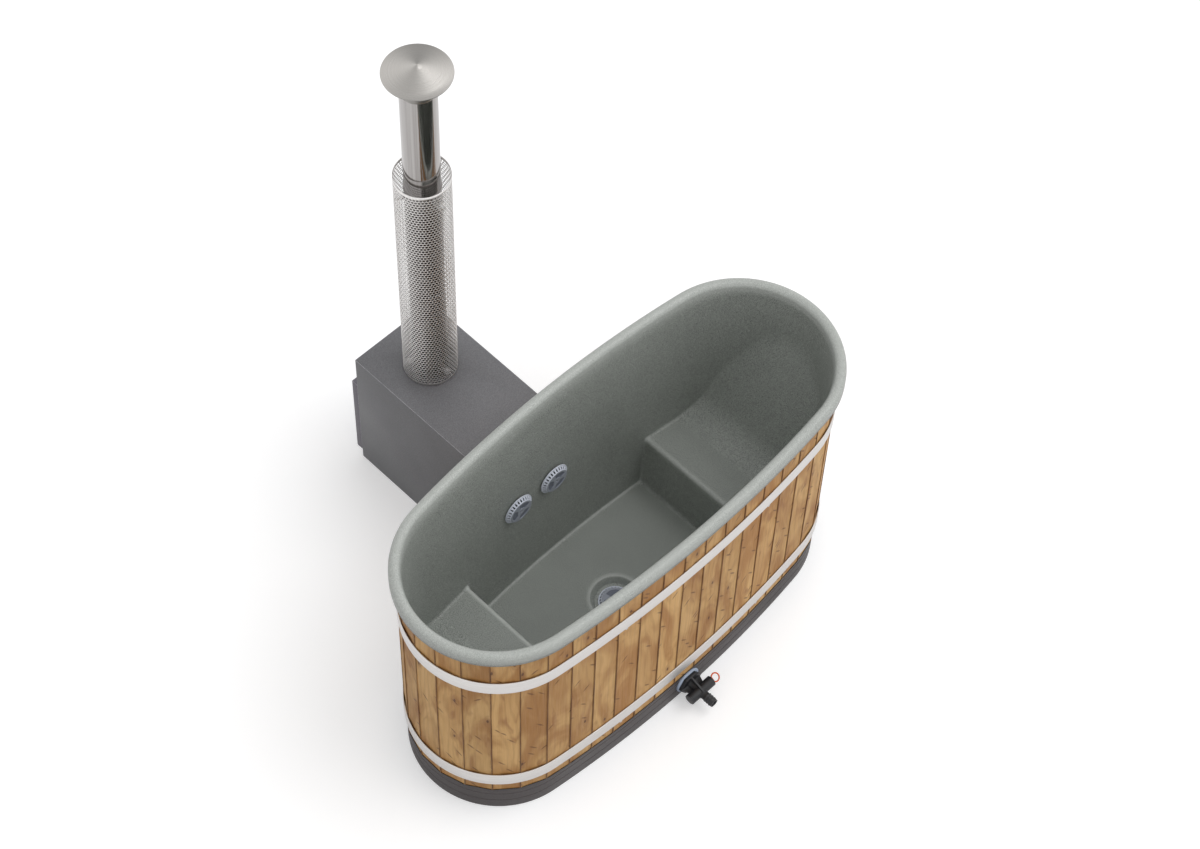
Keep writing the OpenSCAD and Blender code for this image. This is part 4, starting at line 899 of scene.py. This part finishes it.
# ---------------------------------------------------------------- staves, hoops, plinth
def make_staves():
    """Each stave is one outline in plan, a flat outer face with rounded corners, radial sides with
    a tongue and a groove, and an inner face, drawn up between its two ends."""
    rng = np.random.default_rng(11)
    board, tone = rng.random(STAVES), rng.uniform(0.93, 1.07, STAVES)
    k = np.arange(STAVES)
    pitch = OVAL_LEN / STAVES
    a, b = oval_point(k * pitch), oval_point((k + 1) * pitch)
    na, nb = outward(k * pitch), outward((k + 1) * pitch)
    ta, tb = np.stack([-na[:, 1], na[:, 0]], -1), np.stack([-nb[:, 1], nb[:, 0]], -1)
    chord = (b - a) / np.hypot(*(b - a).T)[:, None]
    g = STAVE_GAP / 2

    def from_a(along, deep):
        return a + ta * along - na * deep

    def from_b(along, deep):
        return b + tb * along - nb * deep

    soft = 0.0022
    turn = np.radians([90, 60, 30, 0])
    corner_a = [a + chord * (g + soft * (1 - np.sin(t))) - na * (soft * (1 - np.cos(t)))
                for t in turn[::-1]]
    corner_b = [b - chord * (g + soft * (1 - np.sin(t))) - nb * (soft * (1 - np.cos(t)))
                for t in turn]
    tongue = [from_b(*p) for p in ((-g, 0.0040), (0.0035, 0.0042), (0.0035, 0.0069), (-g, 0.0071))]
    groove = [from_a(*p) for p in ((g, 0.0073), (0.0042, 0.0071), (0.0042, 0.0039), (g, 0.0037))]
    outline = np.stack(corner_a + corner_b + tongue + [from_b(-g, STAVE_T), from_a(g, STAVE_T)]
                       + groove, 1)
    mid = outline.mean(1, keepdims=True)
    away = outline - mid
    bevel = 0.0009
    nip = away * (1 - bevel / np.hypot(away[..., 0], away[..., 1])[..., None])
    levels = [(nip, STAVE_FROM), (away, STAVE_FROM + bevel), (away, STAVE_TO - bevel),
              (nip, STAVE_TO)]
    n = outline.shape[1]
    points = np.stack([np.concatenate([mid + w, np.full((STAVES, n, 1), z)], -1)
                       for w, z in levels], 1)
    across = ((outline - a[:, None]) * chord[:, None]).sum(-1)
    uv = np.stack([np.broadcast_to(across[:, None], (STAVES, 4, n)),
                   np.broadcast_to(points[..., 2], (STAVES, 4, n))], -1)
    sets = {"staves_heater_side": np.arange(5, 18), "staves_step_end": np.arange(18, 27),
            "staves_valve_side": np.arange(27, 40), "staves_seat_end": np.r_[40:45, 0:5]}
    wall = grid_faces(4, n, False, True)
    for name, rows in sets.items():
        shift = np.arange(len(rows))[:, None, None] * 4 * n
        quads = (wall[None] + shift).reshape(-1, 4)
        caps = np.stack([np.arange(n)[::-1], np.arange(3 * n, 4 * n)])
        caps = (caps[None] + shift).reshape(-1, n)
        add(name + "_boards", points[rows], [quads, caps], "tub", "stave_wood", name, 28,
            turn=False, uv=uv[rows].reshape(-1, 2),
            marks={"stave": np.repeat(board[rows], 4 * n), "tone": np.repeat(tone[rows], 4 * n)})


def make_hoop(name, node, low, high):
    """A flat band with rounded edges carried round the oval. Its two ends turn outwards as ears on
    the side towards the heater, with a gap that the bolts draw together."""
    thick, soft, bend, ear, gap = 0.003, 0.0007, 0.004, 0.028, 0.010
    ear_s = END_LEN + SIDE_LEN / 2 - np.radians(4) * SIDE_R
    half = gap / 2 + thick + bend
    s = np.linspace(ear_s + half, ear_s - half + OVAL_LEN, 300)
    base, out = oval_point(s), outward(s)

    def turned_end(point, n, along):
        """Plan points and directions of one bend and ear: a quarter turn out, then straight."""
        t = np.radians(np.linspace(0, 90, 7))[1:, None]
        centre = point + n * (thick + bend)
        arc = centre - n * (thick + bend) * np.cos(t) + along * (thick + bend) * np.sin(t)
        side = n * np.cos(t) - along * np.sin(t)
        tip = arc[-1] + n * (ear - thick - bend)
        return np.concatenate([arc, tip[None]]), np.concatenate([side, side[-1:]])

    t_last = np.array([-out[-1, 1], out[-1, 0]])
    t_first = np.array([out[0, 1], -out[0, 0]])
    end_p, end_n = turned_end(base[-1], out[-1], t_last)
    start_p, start_n = turned_end(base[0], out[0], t_first)
    path = np.concatenate([start_p[::-1], base, end_p])
    side = np.concatenate([start_n[::-1], out, end_n])
    outline = rounded([(0, low), (thick, low), (thick, high), (0, high)], soft, 3)
    n = len(outline)
    add(name, swept(path, side, outline),
        [grid_faces(len(path), n, False, True), end_caps(n, len(path))],
        "tub", "hoop_steel", node, 32)


def make_plinth():
    """A board ring with rounded edges and two shallow grooves, carried round the oval."""
    face, back, top = -0.006, -0.026, 0.128
    grooves = [(face, 0.0435), (face - 0.0022, 0.0465), (face, 0.0495),
               (face, 0.0855), (face - 0.0022, 0.0885), (face, 0.0915)]
    outline = rounded([(back, 0), (face, 0)] + grooves + [(face, top), (back, top)],
                      [0.001, 0.002, 0, 0.0006, 0, 0, 0.0006, 0, 0.002, 0.001], 3)
    count = 288
    s = np.linspace(0, OVAL_LEN, count, endpoint=False)
    add("plinth_ring", swept(oval_point(s), outward(s), outline),
        [grid_faces(count, len(outline), True, True)], "tub", "plinth_wood", "plinth", 26)


make_staves()
make_hoop("upper_hoop_band", "upper_hoop", 0.776, 0.836)
make_hoop("lower_hoop_band", "lower_hoop", 0.175, 0.235)
make_plinth()


# ---------------------------------------------------------------- grilles
def make_grille(node, facing):
    """A turned outline from its screw hole over the face, down the shoulder and back under its
    base. Slots push the shoulder inwards, and three kidney-shaped hollows push the face back, each
    by a depth that grows over a short way inside its outline. facing is the axis that the face
    looks along: "up", or "out" for towards -Y."""
    slots, slot_half, slot_deep = 28, 0.0026, 0.0065
    face = [(0.0025, 0.003), (0.0025, 0.0118), (0.0029, 0.012), (0.0043, 0.012), (0.0045, 0.0122),
            (0.0045, 0.0146), (0.0049, 0.015)]
    face += [(r, 0.015) for r in np.linspace(0.0065, 0.0435, 27)]
    face += [(0.0444, 0.0149), (0.0449, 0.0145), (0.0450, 0.0134), (0.0453, 0.0131),
             (0.0460, 0.0130)]
    down = np.array([0.0126, 0.0121, 0.0117, 0.0113, 0.0105, 0.0095, 0.0085, 0.0075, 0.0065, 0.0060,
                     0.0056, 0.0052, 0.0047])
    shoulder = [(0.046 + (0.013 - h) * 0.00815 / 0.009, h) for h in down]
    under = [(0.0545, 0.0041), (0.0549, 0.0040), (0.0565, 0.0040), (0.0569, 0.0038),
             (0.0570, 0.0034), (0.0570, 0.0006), (0.0568, 0.0002), (0.0564, 0.0),
             (0.0330, 0.0), (0.0330, 0.0050),
             (0.0300, 0.0095), (0.0080, 0.0095), (0.0078, 0.0030)]
    outline = np.array(face + shoulder + under)
    step = TAU / slots
    part = np.radians([0, 1.5, 3.15, 3.65, 4.7, 6.43, 8.16, 9.2, 9.7, 11.35])
    angle = (np.arange(slots)[:, None] * step + part[None]).ravel()
    r = np.broadcast_to(outline[None, :, 0], (len(angle), len(outline))).copy()
    h = np.broadcast_to(outline[None, :, 1], r.shape).copy()
    on_shoulder = np.zeros(len(outline), bool)
    on_shoulder[len(face):len(face) + len(shoulder)] = True
    off = (np.mod(angle, step) - step / 2)[:, None] * r
    along = np.abs(h - 0.0083) / 0.74
    outside = np.hypot(np.abs(off), np.maximum(along - 0.0026, 0)) - slot_half
    in_slot = np.clip(-outside / 0.0004, 0, 1) * on_shoulder
    push = slot_deep * in_slot
    on_face = (outline[:, 1] > 0.0149) & (outline[:, 0] < 0.044)
    turn = np.abs(np.mod(angle, np.radians(120)) - np.radians(60))[:, None] - np.radians(42)
    soft = 0.0035
    side = r * np.sin(turn) + soft
    ends = np.maximum(0.0153 - r, r - 0.0378) + soft
    kidney = (np.minimum(np.maximum(side, ends), 0)
              + np.hypot(np.maximum(side, 0), np.maximum(ends, 0)) - soft)
    sunk = np.clip(-kidney / 0.0012, 0, 1) * on_face
    dark = np.clip(sunk + 0.66 * (outline[:, 1] > 0.0135) * (outline[:, 0] < 0.0445), 0, 1)
    r, h = r - push, h - 0.0018 * sunk
    x, y = r * np.cos(angle)[:, None], r * np.sin(angle)[:, None]
    low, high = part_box(node)
    middle = (np.array(low) + np.array(high)) / 2
    if facing == "up":
        points = np.stack([middle[0] + x, middle[1] + y, low[2] + h], -1)
    else:
        points = np.stack([middle[0] + x, high[1] - h, middle[2] + y], -1)
    add(node + "_moulding", points, [grid_faces(len(angle), len(outline), True, True)],
        "tub", "fitting_plastic", node, 40, marks={"shaded": dark + 2 * in_slot})


for grille, looks in (("drain_grille", "up"), ("cold_grille", "out"), ("hot_grille", "out")):
    make_grille(grille, looks)


# ---------------------------------------------------------------- chimney
def make_flue():
    """Turned pipes: a lower one with a shoulder bead and a narrower neck, and an upper one that
    slips over the neck."""
    lower = [(0.0563, 0.560), (0.0575, 0.560), (0.0575, 1.415), (0.0575, 1.5150)]
    bead = np.radians(np.linspace(-80, 80, 9))
    lower += [(0.0575 + 0.0020 * np.cos(t), 1.5205 + 0.0045 * np.sin(t)) for t in bead]
    lower += [(0.05725, 1.5262), (0.05625, 1.5290), (0.05625, 1.6490), (0.0558, 1.6498),
              (0.05505, 1.6490), (0.05505, 1.5270), (0.0563, 1.5230)]
    points, faces = turned(lower, 128, True)
    # painted shade inside the guard: full up to 1.415 m, a quarter of it from 1.575 m up
    add("lower_flue_pipe", points, faces, "tub", "flue_steel", "lower_flue", 30, 2e-6,
        marks={"guard_shade": np.clip((1.575 - points[:, 2]) / 0.16, 0.25, 1)})
    low, high = 1.605, 1.995
    upper = [(0.0563, low + 0.0004), (0.0566, low), (0.0572, low), (0.0575, low + 0.0004),
             (0.0575, high - 0.0004), (0.0572, high), (0.0566, high), (0.0563, high - 0.0004)]
    add("upper_flue_pipe", *turned(upper, 128, True), "tub", "flue_steel", "upper_flue", 30, 2e-6)


def make_guard():
    """Perforated sheet rolled into a tube: rows of eight-sided oval holes, each row half a pitch
    on from the last, with a plain border at both ends. Two lengths keep each mesh small."""
    count, pitch_z, border, radius = 52, 0.0114, 0.006, 0.0895
    hole_w, hole_h = 0.0047, 0.0052
    low, high = 0.578, 1.570
    rows = int((high - low - 2 * border) / pitch_z)
    first = (low + high - rows * pitch_z) / 2
    step = TAU / (2 * count)
    for name, r0, r1 in (("flue_guard_low", 0, rows // 2), ("flue_guard_high", rows // 2, rows)):
        j = np.arange(r0, r1)
        shift = j % 2
        line = np.arange(2 * count)
        heights = first + np.arange(r0, r1 + 1) * pitch_z
        lines = np.stack(np.broadcast_arrays(line[None] * step, heights[:, None]), -1)
        i = np.arange(count)
        mids = np.stack(np.broadcast_arrays((2 * i[None] + shift[:, None]) * step,
                                            first + (j[:, None] + 0.5) * pitch_z), -1)
        turn = np.radians(225 + 45 * np.arange(8))
        ring = np.stack([np.cos(turn) * hole_w / radius, np.sin(turn) * hole_h], -1)
        centre = np.stack(np.broadcast_arrays((2 * i[None] + 1 + shift[:, None]) * step,
                                              first + (j[:, None] + 0.5) * pitch_z), -1)
        holes = centre[:, :, None] + ring[None, None]
        n_line, n_mid = lines.shape[0] * 2 * count, len(j) * count
        jj, ii = np.meshgrid(np.arange(len(j)), i, indexing="ij")
        sh = shift[:, None]
        at = (2 * ii + sh) % (2 * count)

        def on_line(row, k):
            return (jj + row) * 2 * count + (at + k) % (2 * count)

        def on_mid(k):
            return n_line + jj * count + (ii + k) % count

        rim = np.stack([on_line(0, 0), on_line(0, 1), on_line(0, 2), on_mid(1), on_line(1, 2),
                        on_line(1, 1), on_line(1, 0), on_mid(0)], -1)
        inner = n_line + n_mid + ((jj * count + ii) * 8)[..., None] + np.arange(8)
        quads = np.stack([rim, np.roll(rim, -1, -1), np.roll(inner, -1, -1), inner], -1)
        flat = np.concatenate([lines.reshape(-1, 2), mids.reshape(-1, 2), holes.reshape(-1, 2)])
        lowest = r0 == 0
        edge = np.stack([line * step, np.full(2 * count, low if lowest else high)], -1)
        top = line if lowest else (lines.shape[0] - 1) * 2 * count + line
        base = len(flat) + line
        strip = np.stack([base, np.roll(base, -1), np.roll(top, -1), top], -1)
        flat = np.concatenate([flat, edge])
        points = np.stack([FLUE[0] + radius * np.cos(flat[:, 0]),
                           FLUE[1] + radius * np.sin(flat[:, 0]), flat[:, 1]], -1)
        mesh = mesh_of(name, points, [quads.reshape(-1, 4), strip if lowest else strip[:, ::-1]])
        obj = piece(name, mesh, "tub", "guard_steel", ["flue_guard"], 40)
        wall = obj.modifiers.new("sheet", "SOLIDIFY")
        wall.thickness, wall.offset = 0.0010, -1.0


make_flue()
make_guard()


def make_cap():
    """A spun cone with a small turned-down edge, held on three bent strips by a band that grips the
    upper pipe."""
    edge, apex, thick = 0.1064, 2.071, 0.0012
    slope = (apex - 2.038) / edge
    top = [(0.0, apex), (0.003, apex - 0.0004), (0.010, apex - 0.010 * slope - 0.0001)]
    top += [(r, apex - r * slope) for r in np.linspace(0.02, edge - 0.004, 6)]
    top += [(edge - 0.0012, 2.0388), (edge, 2.0368), (edge - 0.0002, 2.0345),
            (edge - 0.0014, 2.0345)]
    under = [(edge - 0.0035, 2.0372)]
    under += [(r, apex - thick - r * slope) for r in np.linspace(edge - 0.006, 0.01, 5)]
    under += [(0.0, apex - thick)]
    add("rain_cap_cone", *turned(top + under, 144), "chimney_cap", "cap_steel", "rain_cap", 24,
        1e-6)

    band = rounded([(0.0577, 1.965), (0.0592, 1.965), (0.0592, 1.985), (0.0577, 1.985)], 0.0004, 2)
    points, faces = turned(band, 128, True)
    line = rounded([(0.0602, 1.969), (0.0602, 1.990), (0.0765, 2.0455), (0.0640, 2.0497)],
                   [0, 0.012, 0.003, 0], 6)
    ahead = np.gradient(line, axis=0)
    ahead /= np.hypot(*ahead.T)[:, None]
    across = rounded([(-0.009, -0.0009), (0.009, -0.0009), (0.009, 0.0009), (-0.009, 0.0009)],
                     0.0005, 2)
    n, count = len(across), len(points)
    all_points, all_faces = [points], [faces[0]]
    caps = []
    for turn in np.radians([60, 180, 300]):
        radius = line[:, None, 0] + ahead[:, None, 1] * across[None, :, 1]
        height = line[:, None, 1] - ahead[:, None, 0] * across[None, :, 1]
        wide = np.broadcast_to(across[None, :, 0], radius.shape)
        x = FLUE[0] + radius * np.cos(turn) - wide * np.sin(turn)
        y = FLUE[1] + radius * np.sin(turn) + wide * np.cos(turn)
        all_points.append(np.stack([x, y, height], -1).reshape(-1, 3))
        all_faces.append(grid_faces(len(line), n, False, True, count))
        caps.append(end_caps(n, len(line)) + count)
        count += len(line) * n
    add("rain_cap_stays", np.concatenate(all_points),
        [np.concatenate(all_faces), np.concatenate(caps)],
        "chimney_cap", "cap_steel", "rain_cap", 30)


make_cap()


# ---------------------------------------------------------------- solids with softened edges
def softened(node, slot, width):
    """A CAD solid's own shape, in one piece: doubles merged, flat faces made whole, and every edge
    sharper than an angle rounded by the given width. The rounded strips carry the mark "edge",
    where the paints lay their wear and painted highlight."""
    angle = 32
    solid = frame["nodes"][node]
    mesh = solid.data.copy()
    mesh.name = node + "_soft"
    mesh.materials.clear()
    work = bmesh.new()
    work.from_mesh(mesh)
    bmesh.ops.remove_doubles(work, verts=work.verts, dist=1e-5)
    bmesh.ops.dissolve_degenerate(work, edges=work.edges, dist=1e-6)
    bmesh.ops.dissolve_limit(work, angle_limit=np.radians(1), verts=work.verts, edges=work.edges)
    mark = work.faces.layers.float.new("edge")
    sharp = [e for e in work.edges
             if len(e.link_faces) == 2 and e.calc_face_angle(0) > np.radians(angle)]
    strips = bmesh.ops.bevel(work, geom=sharp, offset=width, offset_type="OFFSET", segments=2,
                             profile=0.5, affect="EDGES", clamp_overlap=True)["faces"]
    for face in strips:
        face[mark] = 1.0
    work.to_mesh(mesh)
    work.free()
    piece(node + "_soft", mesh, solid["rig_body"], slot, [node], angle)


def dress(node, slot):
    """A CAD node keeps its shape and takes its finish."""
    obj = frame["nodes"][node]
    obj.data.materials.clear()
    obj.data.materials.append(MATERIALS[slot])


REPLACED = """liner staves_heater_side staves_step_end staves_valve_side staves_seat_end upper_hoop
lower_hoop plinth lower_flue upper_flue flue_guard rain_cap drain_grille cold_grille
hot_grille""".split()
# how wide each small solid's edges are rounded
SOFT = {name: width for width, names in (
    (0.0003, "hoop_support_screws drain_screw cold_screw hot_screw"),
    (0.0004, "hoop_bolts hoop_nuts pipe_clamps guard_spacers"),
    (0.0005, "hinge_pins"),
    (0.0006, "hinge_sleeves air_guides"),
    (0.0007, "valve_spool"),
    (0.0008, "valve_body valve_gasket valve_nut hinge_brackets air_slide"),
    (0.0008, "cold_nut hot_nut drain_nut"),
    (0.0009, "valve_end_cap heater_casing heater_base"),
    (0.0012, "door_plate latch_handle")) for name in names.split()}
for part in frame["record"]["subparts"]:
    if part["node"] in SOFT:
        softened(part["node"], part["material_slot"], SOFT[part["node"]])
    elif part["node"] not in REPLACED:
        dress(part["node"], part["material_slot"])
